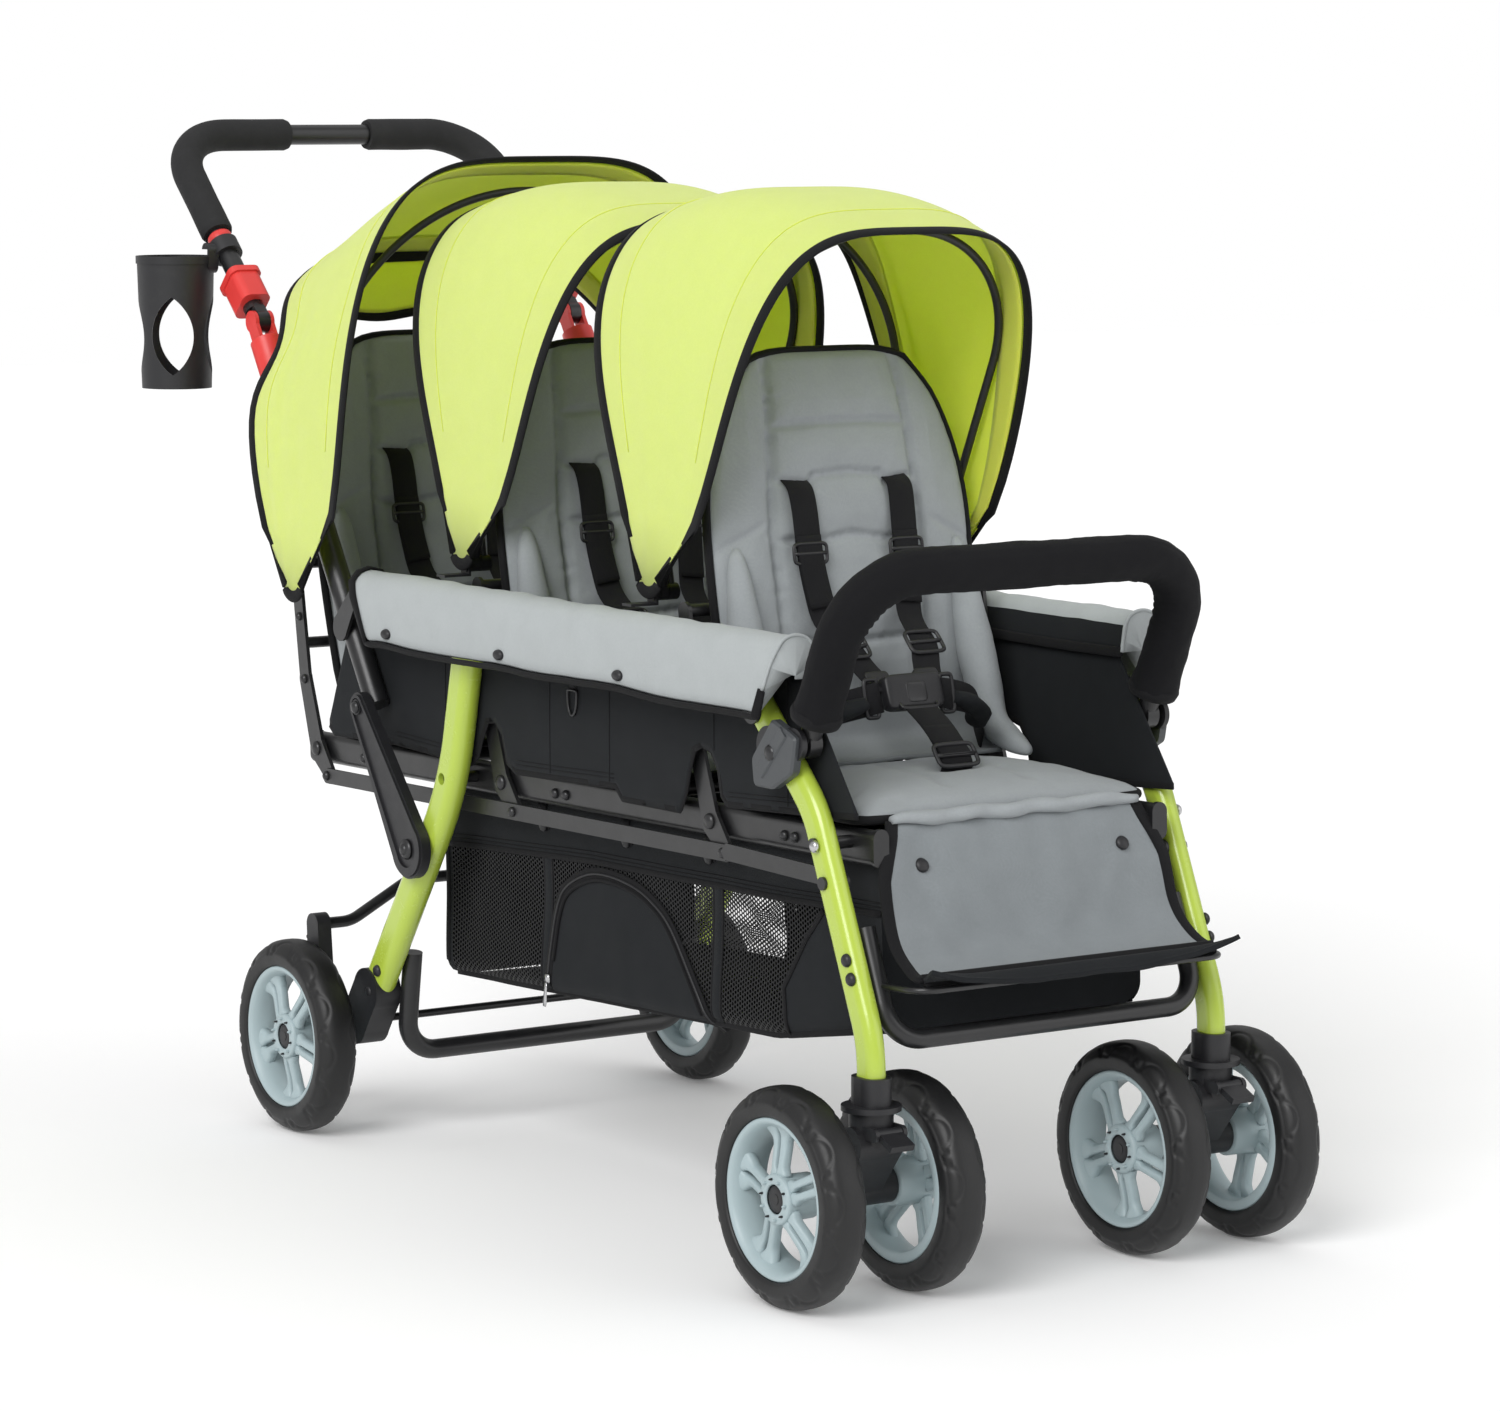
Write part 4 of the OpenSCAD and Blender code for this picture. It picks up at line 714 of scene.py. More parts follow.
# sewn lines in millimetres: a back's are (line, depth, width), a pad's are lines alone
backSeams = [
    ([(-79, 362), (-40, 364), (0, 365), (40, 364), (79, 362)], 7.0, 5.5),
    ([(-82, 312), (-44, 306), (-38, 314), (0, 317), (38, 314), (44, 306), (82, 312)], 7.5, 5.5),
    ([(-84, 256), (-44, 252), (0, 258), (44, 252), (84, 256)], 6.5, 5.5),
    ([(-82, 160), (0, 156), (82, 160)], 6.0, 5.5),
]
for side in (-1, 1):
    upright = [(73, 436), (79, 362), (84, 262), (80, 160), (74, 66)]
    branch = [(146, 248), (112, 262), (86, 276)]
    backSeams += [([(side * x, z) for x, z in upright], 9.5, 6.5), ([(side * x, z) for x, z in branch], 3.2, 5.0)]
padSeams = ([(-46, 92), (-44, 262)], [(46, 92), (44, 262)])


def makeBackForm():
    b = backSpec
    rows, cols = 41, 31
    frontEdge, rearEdge = b["edge"]
    front, rear = [], []
    for r in range(rows):
        t = r / (rows - 1)
        fr, re = [], []
        for c in range(cols):
            s = 2 * c / (cols - 1) - 1
            z = mix(b["foot"], b["head"], t) - backCorner(s, t)
            e = sqrt(max(0.0, (1 - abs(s) ** 3.2) * (1 - abs(2 * t - 1) ** 5)))
            x = s * b["half"] * backHalf(t)
            fr.append(mm(x, -frontEdge - (b["front"] - frontEdge) * e, z))
            re.append(mm(x, rearEdge + (b["rear"] - rearEdge) * e, z))
        front.append(fr)
        rear.append(re)
    ob = shell("backForm", front, rear, greyCloth)

    def held(p):
        t = min(1, max(0, (p.z * 1000 - b["foot"]) / (b["head"] - b["foot"])))
        edge = abs(p.x) * 1000 / (b["half"] * backHalf(t))
        near = max(edge, abs(2 * t - 1))
        return 1.0 if p.y > 0.0035 else smooth(0.9, 0.985, near)

    puffed(ob, held)
    for v in ob.data.vertices:
        p = v.co
        if p.y > 0.001:
            continue
        x, z = p.x * 1000, p.z * 1000
        dent = 0.0
        for line, depth, width in backSeams:
            d, u = segmentGap(x, z, line)
            if d < width * 3.5:
                pucker = 1 + 0.28 * wobble(u * 60, d * 0.15, depth)
                dent = max(dent, depth * pucker * exp(-(d / width) ** 2))
                dent = max(dent, 0.42 * depth * pucker * exp(-(d / (width * 2.4)) ** 2))
        ripple = wobble(x * 0.022, z * 0.03, 3.1) * 1.5 + wobble(x * 0.07, z * 0.05, 8.2) * 0.6
        shape = smooth(0.0, 0.012, -p.y)
        p.y = min(-0.0025, p.y + (dent + ripple * 0.6) * shape / 1000)
    return ob


def makePadForm():
    b = padSpec
    rows, cols = 27, 35
    top, under = [], []
    mid, deep = (b["front"] + b["back"]) / 2, (b["back"] - b["front"]) / 2
    lip = b["edge"] * 0.72
    for r in range(rows):
        v = 2 * r / (rows - 1) - 1
        tr, ur = [], []
        for c in range(cols):
            s = 2 * c / (cols - 1) - 1
            round2 = 1 - 0.045 * abs(s) ** 6 * abs(v) ** 6
            x = s * (b["half"] - 3.5 * (1 - v * v)) * round2
            y = mid + v * (deep - 2.5 * (1 - s * s)) * round2
            e = sqrt(max(0.0, (1 - abs(s) ** 3.5) * (1 - abs(v) ** 3.5)))
            tr.append(mm(x, y, lip + (b["crown"] - lip) * e))
            ur.append(mm(x, y, b["edge"] * 0.28 * (1 - e ** 0.25)))
        top.append(tr)
        under.append(ur)
    ob = shell("padForm", top, under, greyCloth)

    def held(p):
        s = abs(p.x) * 1000 / b["half"]
        v = abs(p.y * 1000 - mid) / deep
        return 1.0 if p.z < 0.003 else smooth(0.9, 0.985, max(s, v))

    puffed(ob, held)
    for v in ob.data.vertices:
        p = v.co
        p.z = max(p.z, 0.0)
        if p.z < 0.006:
            continue
        x, y = p.x * 1000, p.y * 1000
        near = min(segmentGap(x, y, line)[0] for line in padSeams)
        dent = 2.6 * exp(-(near / 7.0) ** 2)
        dent += 4.0 * exp(-((x / 24) ** 2 + ((y - 138) / 9) ** 2))
        ripple = wobble(x * 0.02, y * 0.03, 5.7) * 1.4 + wobble(x * 0.06, y * 0.06, 1.2) * 0.5
        p.z -= (dent + ripple) * smooth(0.008, 0.02, p.z) / 1000
    return ob


backForm = makeBackForm()
padForm = makePadForm()
print("cushion forms done", len(backForm.data.vertices), len(padForm.data.vertices))


def placedCopy(form, name, move):
    ob = newObject(name, form.data.copy())
    for v in ob.data.vertices:
        v.co = move(v.co)
    return ob


def makeSeat(i, label):
    def toBack(p):
        wave = wobble(p.x * 9, p.z * 7, 11.0 * i) * 1.3 * smooth(0.0, 0.015, -p.y)
        return backPoint(i, p.x * 1000, p.z * 1000, p.y * 1000 + wave)

    def toPad(p):
        wave = wobble(p.x * 8, p.y * 8, 7.0 * i) * 1.4 * smooth(0.008, 0.025, p.z)
        return st(p.y * 1000 + seatSpec["pitch"] * i, padSpec["base"][i] + p.z * 1000 + wave, p.x * 1000)

    back = placedCopy(backForm, "seatBack." + label, toBack)
    pad = placedCopy(padForm, "seatPad." + label, toPad)
    for ob, out in ((back, Vector((0, 1, 0))), (pad, Vector((0, 0, -1)))):  # black cloth on the reverse side
        ob.data.materials.append(blackCloth)
        for q in ob.data.polygons:
            if q.normal.dot(out) > 0.55:
                q.material_index = len(ob.data.materials) - 1
    b, proud = backSpec, 0.6  # the tape stands this far out, in millimetres
    up, across = 26, 14
    ring = [(1, k / up) for k in range(up + 1)] + [(1 - 2 * k / across, 1.0) for k in range(1, across)]
    ring += [(-1, 1 - k / up) for k in range(up + 1)] + [(-1 + 2 * k / across, 0.0) for k in range(1, across)]
    outline = []
    for s, t in ring:
        x = s * (b["half"] + proud) * backHalf(t)
        z = mix(b["foot"] - proud, b["head"] + proud, t) - backCorner(s, t)
        outline.append(backPoint(i, x, z, -0.8))
    tape = sweep("backTape." + label, outline, oval(0.0035, b["tape"] / 2), binding, closed=True,
                 up=backPoint(0, 0, 0, -1) - backPoint(0, 0, 0, 0))
    rim, around = [], 88
    half, y0, y1 = padSpec["half"] + 0.5, padSpec["front"] - 0.5, padSpec["back"] + 0.5
    for k in range(around):
        a = 2 * pi * k / around
        c, s = cos(a), sin(a)
        sx, sy = signedPower(c, 0.22), signedPower(s, 0.22)
        x = sx * (half - 3.5 * (1 - sy * sy))
        y = (y0 + y1) / 2 + sy * ((y1 - y0) / 2 - 2.5 * (1 - sx * sx))
        lift = padSpec["edge"] * 0.5 + wobble(x * 0.02, y * 0.02, i) * 0.6
        rim.append(st(y + seatSpec["pitch"] * i, padSpec["base"][i] + lift, x))
    piping = sweep("padTape." + label, rim, oval(0.0034, padSpec["tape"] / 2), binding, closed=True, up=(0, 0, 1))
    place(back, "backrest_" + label, "grey_cloth", "seat_back_" + label)
    place(tape, "backrest_" + label, "black_cloth")
    place(pad, "frame", "grey_cloth", "seat_pad_" + label)
    place(piping, "frame", "black_cloth")


for i, label in enumerate(seatNames):
    makeSeat(i, label)
for form in (backForm, padForm):
    bpy.data.objects.remove(form)
print("cushions done")


# seat joins: a strip behind each pad, and padded wings at the hips
joinSpec = {"strip": [(252, 446), (266, 447.5), (276, 456)], "back": [(70, -15), (96, -20)], "half": 138,
            "turn": ((266, 448), (286, 480)), "wing": [(126, 250, -12), (129, 185, -20), (132, 120, -27)],
            "lap": [(264, 475, 134), (238, 459, 136), (206, 449, 136)], "wingR": (3, 15)}


def makeSeatJoin(i, label):
    c = joinSpec
    move = mm(0, seatSpec["pitch"] * i, -seatSpec["pitch"] * i * seatSpec["pivot"][3])
    line = [st(y, z) + move for y, z in c["strip"]] + [backPoint(i, 0, u, v) for u, v in c["back"]]
    rows = []
    for q in smoothPath(line, 5):
        row = []
        for k in range(41):
            x = c["half"] * (k / 20 - 1)
            puff = 2.2 * wobble(x * 0.022, q.z * 30, i) / 1000
            row.append(Vector((x / 1000, q.y + puff, q.z + puff)))
        rows.append(row)
    strip = gridMesh("seatJoin." + label, rows, greyCloth, 0.004)
    wings = []
    for s in (-1, 1):
        def radius(run, share, a):
            tip, belly = c["wingR"]
            crease = 1 + 0.10 * wobble(run * 0.03, cos(a), s * 2 + sin(a))
            return (tip + belly * sin(pi * share) ** 0.6) * crease

        path = [backPoint(i, s * x, u, v) for x, u, v in c["wing"]]
        path += [st(y, z, s * x) + move for y, z, x in c["lap"]]
        wings.append(sleeve("wing", smoothPath(path, 8), radius, greyCloth, 24))
    pair = joined("hipWings." + label, wings)
    for ob in (strip, pair):
        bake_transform(ob)


for i, label in enumerate(seatNames):
    makeSeatJoin(i, label)
print("seat joins done")


def lineAt(table, x):  # a value between the points of a table
    for (x0, v0), (x1, v1) in zip(table, table[1:]):
        if x0 <= x <= x1:
            return mix(v0, v1, (x - x0) / (x1 - x0))
    return table[0][1] if x < table[0][0] else table[-1][1]


def domeSnap(name, centre, out, r=0.0065, stretch=(1, 1), mat=None):  # a sewn-on press stud
    ob = lathe(name, [(0.0, 0.0042), (r * 0.45, 0.0039), (r * 0.78, 0.0028), (r * 0.96, 0.0012), (r, -0.0006),
                      (r * 0.6, -0.0016), (0.0, -0.0018)], mat or blackPlastic, (0, 0, 0), (0, 0, 1), 20)
    turn = Vector(out).to_track_quat("Z", "Y").to_matrix()
    for v in ob.data.vertices:
        v.co = Vector(centre) + turn @ Vector((v.co.x * stretch[0], v.co.y * stretch[1], v.co.z))
    return ob


# calf panel: a limp sheet from the pad's front edge to the foot wire, ending in a stiff lip
calfSpec = {"top": (49.5, 421.5), "foot": (-38, 294.5), "sag": 27, "lip": (-64, 288), "lipHalf": 163, "tape": 0.013,
            "thick": 0.0026, "half": [(0, 136), (0.32, 157), (0.7, 160), (1, 163)], "stud": (112, 0.25),
            "roll": (46.5, 425, 138, 6.6)}


def calfPoint(q, s, out=0.0):  # hangs back from the line between its ends and curls out over the wire
    c = calfSpec
    d = Vector((c["foot"][0] - c["top"][0], c["foot"][1] - c["top"][1])).normalized()
    n = Vector((d.y, -d.x))
    x = s * lineAt(c["half"], q)
    y, z = mix(c["top"][0], c["foot"][0], q), mix(c["top"][1], c["foot"][1], q)
    hang = -c["sag"] * sin(pi * min(1, q) ** 1.9) ** 0.85
    wave = wobble(s * 2.3, q * 2.1, 4.0) * 5.0 + wobble(s * 5, q * 4.2, 9.0) * 2.4
    studX, studQ = c["stud"]
    for side in (-1, 1):  # a dimple round each stud, and a soft fold that runs down from it
        g = hypot((x - side * studX) / 26, (q - studQ) * 6)
        wave -= 4.0 * exp(-g * g)
        fold = (x - side * (studX - 90 * (q - studQ))) / 11
        wave += 2.6 * exp(-fold * fold) * smooth(0.2, 0.34, q) * smooth(0.8, 0.45, q)
    off = out + hang + wave * smooth(0, 0.12, q) * smooth(0, 0.14, 1 - q)
    return st(y + n.x * off, z + n.y * off, x)


def makeCalfPanel():
    c = calfSpec
    rows, cols, lipRows = 31, 57, 9
    grid = [[calfPoint(r / (rows - 1), 2 * k / (cols - 1) - 1) for k in range(cols)] for r in range(rows)]
    # the calf panel takes the darker grey: painted shade on the seat cloth
    sheet = fixNormals(gridMesh("calfPanel", grid, calfShadedGrey, c["thick"]))
    lip = []
    for r in range(lipRows):
        u = r / (lipRows - 1)
        row = []
        for k in range(cols):
            s = 2 * k / (cols - 1) - 1
            curl = (13 * abs(s) ** 3 + 3 * (1 - s * s)) * u
            droop = -9 * smooth(0.45, 1, u) * (1 - abs(s) ** 3)
            y = mix(c["foot"][0], c["lip"][0], u) + 5 * (1 - s * s) * u
            z = mix(c["foot"][1], c["lip"][1] + 6, u) + curl + droop + wobble(s * 4, u * 2, 3) * 2.4 * u
            row.append(st(y, z, s * (c["lipHalf"] + 9 * u)))
        lip.append(row)
    lipOb = gridMesh("calfLip", lip, blackCloth, 0.0046)
    y, z, half, r = c["roll"]

    def radius(run, share, a):
        taper = 0.55 + 0.45 * min(1, 9 * min(share, 1 - share))
        return (r + 1.3 * wobble(run * 0.05, cos(a), sin(a))) * taper

    line = [st(y + 1.5 * sin(k * 0.9), z + 1.2 * sin(k * 0.6), -half + 2 * half * k / 40) for k in range(41)]
    roll = sleeve("calfRoll", line, radius, greyCloth, 18)
    normal = calfPoint(0.5, 0, 1) - calfPoint(0.5, 0)
    tapes = []
    for side in (-1, 1):
        edge = [calfPoint(r / (rows - 1), side, 0.3) for r in range(rows)]
        tapes.append(sweep("tape", edge, flat(c["tape"], 0.0044), binding, up=normal))
    foot = [calfPoint(1, 2 * k / 40 - 1, 0.3) for k in range(41)]
    tapes.append(sweep("tape", foot, flat(c["tape"], 0.0046), binding, up=normal))
    tapeOb = joined("calfTape", tapes)
    studX, studQ = c["stud"]
    studs = []
    for side in (-1, 1):
        s = side * studX / lineAt(c["half"], studQ)
        studs.append(domeSnap("stud", calfPoint(studQ, s, 1.6), normal, 0.0072))
    place(joined("calfStuds", studs), "frame", "black_plastic")
    for ob, slot in ((sheet, "grey_cloth"), (roll, "grey_cloth"), (lipOb, "black_cloth"), (tapeOb, "black_cloth")):
        place(ob, "frame", slot)
    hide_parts("calf_panel")


makeCalfPanel()

# armrest covers: padded sleeves over the tubes, closed in front, with a hanging outer flap
coverSpec = {"front": 114, "rear": 882.5, "rows": 79, "thick": 3.6, "tape": 0.0095,
             "section": [(221.2, 0), (221.8, 24), (221.0, 46), (217.5, 61), (209, 71), (196, 74.4), (183, 71),
                         (176.0, 62), (172.8, 46), (172.4, 34)],
             "studs": (806, 587, 372), "hem": 515.2, "crown": 589.6, "axis": (196, 556), "ends": (60, 26, 36)}


def coverPoint(y, k, side, deep=0.0):
    c = coverSpec
    x, h = c["section"][k]
    outer = max(0.0, 1 - h / 60) if k < 4 else 0.0
    hem = c["hem"] + 3.5 * wobble(y * 0.006, side, 0.4)
    z = hem + h * (c["crown"] - hem) / max(q[1] for q in c["section"])
    reach, frontSlant, rearSlant = c["ends"]  # the flap's ends are cut on the slant
    slant = 0.0
    if y > c["rear"] - reach:
        slant = smooth(c["rear"] - reach, c["rear"], y) * outer * rearSlant
    if y < c["front"] + reach:
        slant = -smooth(c["front"] + reach, c["front"], y) * outer * frontSlant
    fold = 0.0
    for sy in c["studs"]:
        g = (y - sy) / 34
        fold += 1.7 * exp(-g * g) * outer
    crease = wobble(y * 0.035, h * 0.012, side * 3.0) * 2.6 + wobble(y * 0.011, h * 0.02, 7.0) * 1.6
    d = Vector((x - c["axis"][0], z - c["axis"][1])).normalized()
    inset = deep + fold + max(-0.1, 1.9 + crease) * (0.75 if 0 < k < 9 else 0.2)
    return st(y - slant, z - d.y * inset, side * (x - d.x * inset))


def makeCover(side, label):
    c = coverSpec
    n = len(c["section"])
    ys = [mix(c["front"], c["rear"], r / (c["rows"] - 1)) for r in range(c["rows"])]
    outer = [[coverPoint(y, k, side) for k in range(n)] for y in ys]
    inner = [[coverPoint(y, k, side, c["thick"]) for k in range(n)] for y in ys]
    cover = subdivide(shell("armrestCover." + label, outer, inner, paleCloth))
    cover.data.materials.append(blackCloth)
    for q in cover.data.polygons:
        q.material_index = 1 if abs(q.center.x) < 0.1785 and q.center.z < 0.581 else 0
    midX = side * c["axis"][0] / 1000
    rim = list(reversed(outer[0][:2])) + [r[0] for r in outer[1:]] + outer[-1][1:]
    rim += [r[-1] for r in reversed(outer[:-1])]
    ups = [Vector((p.x - midX, 0, p.z - 0.55)).normalized() for p in rim]
    rim = [p + u * 0.001 for p, u in zip(rim, ups)]
    tape = sweep("armrestTape." + label, rim, flat(c["tape"], 0.0032), binding, up=ups)
    piping = sweep("armrestPiping." + label, smoothPath(outer[0][1:], 4), circle(0.0019, 8), paleCloth)
    face = []
    for k in range(n):  # closed end under the piping, down to the inner hem
        p = outer[0][k]
        face.append([p + Vector((0, -0.0004, 0)), Vector((midX, p.y, max(0.5485, min(p.z, 0.552))))])
    cap = gridMesh("armrestCap." + label, face, paleCloth, 0.0016)
    studs = []
    for sy in c["studs"]:
        p = (coverPoint(sy, 0, side) + coverPoint(sy, 1, side)) / 2
        studs.append(domeSnap("stud", p + Vector((side * 0.0006, 0, 0)), (side, 0, 0), 0.0056, (1.5, 0.95)))
    for ob in (cover, piping, cap):
        place(ob, "frame", "grey_cloth")
    place(tape, "frame", "black_cloth")
    place(joined("armrestStuds." + label, studs), "frame", "black_plastic")
    return cover


covers = [makeCover(side, label) for side, label in ((1, "left"), (-1, "right"))]
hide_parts("armrest_covers")
print("calf panel and armrests done")

# side panels: black cloth hung from the armrests, cut out round the recline plates
panelSpec = {"x": 178.7, "top": [(42, 434), (125, 546), (890, 546), (958, 516), (1000, 420)], "thick": 0.0018,
             "tape": 0.007, "ring": 516,
             "hem": [(42, 430), (131, 424), (250, 417), (258, 424), (264, 448), (276, 464), (292, 468), (306, 462),
                     (315, 440), (320, 421), (330, 402), (430, 401), (442, 412), (536, 408), (626, 405), (640, 412),
                     (650, 440), (664, 452), (680, 450), (692, 430), (700, 412), (712, 404), (862, 409), (990, 405),
                     (1000, 412)],
             "seams": [(452, 0.04), (560, 0.04), (271, 0.1), (760, 0.04), (150, 0.04)],
             "hemRuns": [(444, 624), (714, 860), (134, 248)]}


def panelPoint(y, u, side, lift=0.0):
    c = panelSpec
    lo, hi = lineAt(c["hem"], y), lineAt(c["top"], y)
    z = mix(lo, max(hi, lo + 2), u)
    wave = wobble(y * 0.012, z * 0.02, side * 5.0) * 0.8 + wobble(y * 0.03, z * 0.012, 2.0) * 0.5
    return st(y, z, side * (c["x"] + lift - 0.5 - wave * min(1, 4 * u) * 0.6))


def stitchLine(pts, r=0.0005):
    return sweep("stitch", pts, circle(r, 5), binding)


def makePanel(side, label):
    c = panelSpec
    y0, y1 = c["hem"][0][0], c["hem"][-1][0]
    hemYs = sorted(set([p[0] for p in c["hem"]] + [y0 + (y1 - y0) * k / 150 for k in range(151)]))
    grid = [[panelPoint(y, r / 14, side) for r in range(15)] for y in hemYs]
    sheet = gridMesh("sidePanel." + label, grid, blackCloth, c["thick"])
    hem = [panelPoint(y, 0, side, -0.2) + Vector((0, 0, 0.002)) for y in hemYs]
    trims = [sweep("tape", hem, flat(c["tape"], 0.0022), binding, up=(side, 0, 0))]
    for y, foot in c["seams"]:
        trims.append(stitchLine([panelPoint(y, mix(foot, 0.98, k / 12), side, 1.0) for k in range(13)], 0.0006))
    for drop in (9, 13):  # twin rows above the hem
        for a, b in c["hemRuns"]:
            pts = []
            for k in range(25):
                y = mix(a, b, k / 24)
                lo, hi = lineAt(c["hem"], y), lineAt(c["top"], y)
                pts.append(panelPoint(y, drop / (hi - lo), side, 1.0))
            trims.append(stitchLine(pts))
    trimOb = joined("panelTrim." + label, trims)
    # a ring that hangs on a webbing tab
    drop = [panelPoint(c["ring"], u, side, 1.4) for u in (0.82, 0.78, 0.74, 0.70, 0.66)]
    tab = sweep("panelTab." + label, drop, flat(0.013, 0.0016), webbing, up=(side, 0, 0))
    base = panelPoint(c["ring"], 0.645, side, 2.6)
    ring = []
    for k in range(25):
        a = pi * k / 24
        ring.append(base + Vector((0, 0.0082 * cos(a), -0.0235 * sin(a) ** 0.75)))
    ring += [base + Vector((0, y, 0.0008)) for y in (-0.004, 0.004)]
    ringOb = sweep("panelRing." + label, smoothPath(ring, 2, True), circle(0.0013, 8), darkSteel, closed=True)
    for ob in (sheet, trimOb, tab):
        place(ob, "frame", "black_cloth")
    place(ringOb, "frame", "black_plastic")
    return sheet


panels = [makePanel(side, label) for side, label in ((1, "left"), (-1, "right"))]
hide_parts("side_panels")
print("side panels done")


def uPath(foot, lean, half, reach, corner, start, stop=None):
    # up one leg of a bent tube, round its corner and along the crossbar, to stop or down the other leg
    leg = [(half, mix(start, reach - corner, k / 20)) for k in range(20)]
    arc = [(half - corner + corner * cos(a), reach - corner + corner * sin(a))
           for a in [pi / 2 * k / 22 for k in range(22)]]
    end = 0.0 if stop is None else stop
    bar = [(mix(half - corner, end, k / 18), reach) for k in range(19)]
    line = leg + arc + bar
    if stop is None:
        line += [(-x, d) for x, d in reversed(line[:-1])]
    s, c = sin(radians(lean)), cos(radians(lean))
    return [st(foot[0] + d * s, foot[1] + d * c, x) for x, d in line]


# grab bar sleeve: padded cloth on the bent tube, gathered inside the corners
sleeveSpec = {"foot": (100, 492), "lean": -24.3, "half": 190.6, "reach": 171, "corner": 70, "start": 24, "r": 21.2}


def makeGrabSleeve():
    c = sleeveSpec
    pts = uPath(c["foot"], c["lean"], c["half"], c["reach"], c["corner"], c["start"])
    legs = c["reach"] - c["corner"] - c["start"]
    bend = pi / 2 * c["corner"]
    total = 2 * (legs + bend + c["half"] - c["corner"])

    def radius(run, share, a):
        near = min(run, total - run)
        inside = max(0.0, cos(a)) ** 1.3
        corner = smooth(legs - 26, legs + 18, near) * smooth(legs + bend + 30, legs + bend - 20, near)
        fold = 2.0 * inside * corner * sin(run * 0.62 + 1.5 * sin(a * 2))
        slack = wobble(run * 0.02, cos(a) * 1.2, sin(a) * 1.2) * 1.3
        crease = wobble(run * 0.09, cos(a) * 2, sin(a) * 2 + 5) * 0.7
        cuff = 2.4 * smooth(26, 0, near) - 2.2 * smooth(5, 0, near)
        seam = -0.9 * exp(-((a - 3.6) / 0.07) ** 2)
        return c["r"] + min(1.3, fold + slack + crease) + cuff + seam

    pad = sleeve("grabSleeve", pts, radius, sleeveCloth, 44)
    cuffs = []
    for end in (pts, list(reversed(pts))):
        cuffs.append(sleeve("cuff", [end[1] + (end[0] - end[1]) * k for k in (1.0, -0.4, -1.8)],
                            lambda run, share, a: 24.4 - 1.5 * abs(2 * share - 1), binding, 32))
    place(pad, "grab_bar", "black_cloth", "grab_bar_pad")
    place(joined("grabCuffs", cuffs), "grab_bar", "black_cloth")


makeGrabSleeve()

# handle grips: closed-cell foam slid round the corners of the handle
gripSpec = {"foot": (1118, 830), "lean": 46, "half": 192, "reach": 278, "corner": 65, "start": 128, "stop": 50,
            "r": 17.2, "band": 120}


def makeGrips():
    c = gripSpec
    grips = []
    for side in (1, -1):
        pts = uPath(c["foot"], c["lean"], c["half"], c["reach"], c["corner"], c["start"], c["stop"])
        pts = [Vector((side * p.x, p.y, p.z)) for p in pts]
        total = sum((b - a).length for a, b in zip(pts, pts[1:])) * 1000

        def radius(run, share, a):
            near = min(run, total - run)
            pinch = wobble(run * 0.03, cos(a) * 1.5, sin(a) * 1.5 + side) * 0.35
            return c["r"] + pinch - 1.6 * smooth(4, 0, near)

        grips.append(sleeve("grip", pts, radius, gripFoam, 36))
    foam = joined("handleGrips", grips)
    place(sharpen(foam, 60), "handle", "foam", "handle_grips")
    s, k = sin(radians(c["lean"])), cos(radians(c["lean"]))
    half = [(0.0132, 0.003), (0.0128, 0.0042), (0.0110, 0.0045)]
    section = [(r, -h) for r, h in reversed(half)] + half
    centre = st(c["foot"][0] + c["band"] * s, c["foot"][1] + c["band"] * k, -c["half"])
    band = lathe("handleBand", section, redPlastic, centre, (0, s, k), 36)
    place(band, "handle", "red_plastic")


makeGrips()
print("grab bar and handle done")

# wheels: one tyre and one rim, made once with the axle along x and copied to all six places
wheelRadius = 100  # height of the axles, in millimetres
tyreSpec = {"steps": 288, "blocks": 12, "rimR": 73.2, "r": 99.7, "groove": 1.15, "tread": 95, "shoulder": 26.5,
            "section": [(0, 0), (4, 0.1), (8, 0.6), (11, 1.4), (13.5, 2.6), (15.8, 4.3), (17.6, 6.2), (19, 8.4),
                        (20, 10.4), (20.7, 11.6), (21.4, 13), (21.8, 15.5), (21.6, 19), (21.0, 23)]}
rimSpec = {"pairs": 5, "hub": 20.0, "reach": 66.0, "slot": 2.3, "thick": 9.0, "dowels": 10,
           "barrel": [(73.0, 17.6), (72.4, 18.6), (70.6, 18.9), (68.6, 18.2), (66.4, 15.5), (64.6, 11.5), (63.4, 7),
                      (62.6, 0), (62.6, -17.4), (64, -18.6), (71.5, -18.6), (73.0, -17.6), (73.0, 17.6)],
           "core": [(13.2, 15.2), (13.6, 16.6), (14.6, 17.2), (21.0, 16.6), (22.6, 15.6), (23.2, 13.0), (22.4, 6),
                    (21, -2), (20.6, -20.5), (19, -21.6), (8, -21.6), (5.4, -21.2), (5.4, 0)],
           "cap": [(0.0, 15.6), (8, 15.5), (11.4, 15.0), (12.9, 13.9), (13.3, 12.4), (13.3, 9)]}


def tyreProfile():  # half of the section: (across, radius, distance from the middle of the tread)
    c = tyreSpec
    line = [(x, c["r"] - d) for x, d in c["section"]] + [(19.8, c["rimR"] + 0.8), (18, c["rimR"])]
    fine = []
    for (x0, r0), (x1, r1) in zip(line, line[1:]):
        n = max(1, round(hypot(x1 - x0, r1 - r0) / 1.3))
        fine += [(mix(x0, x1, k / n), mix(r0, r1, k / n)) for k in range(n)]
    fine.append(line[-1])
    out, run = [], 0.0
    for i, (x, r) in enumerate(fine):
        if i:
            run += hypot(x - fine[i - 1][0], r - fine[i - 1][1])
        out.append((x, r, run))
    return out


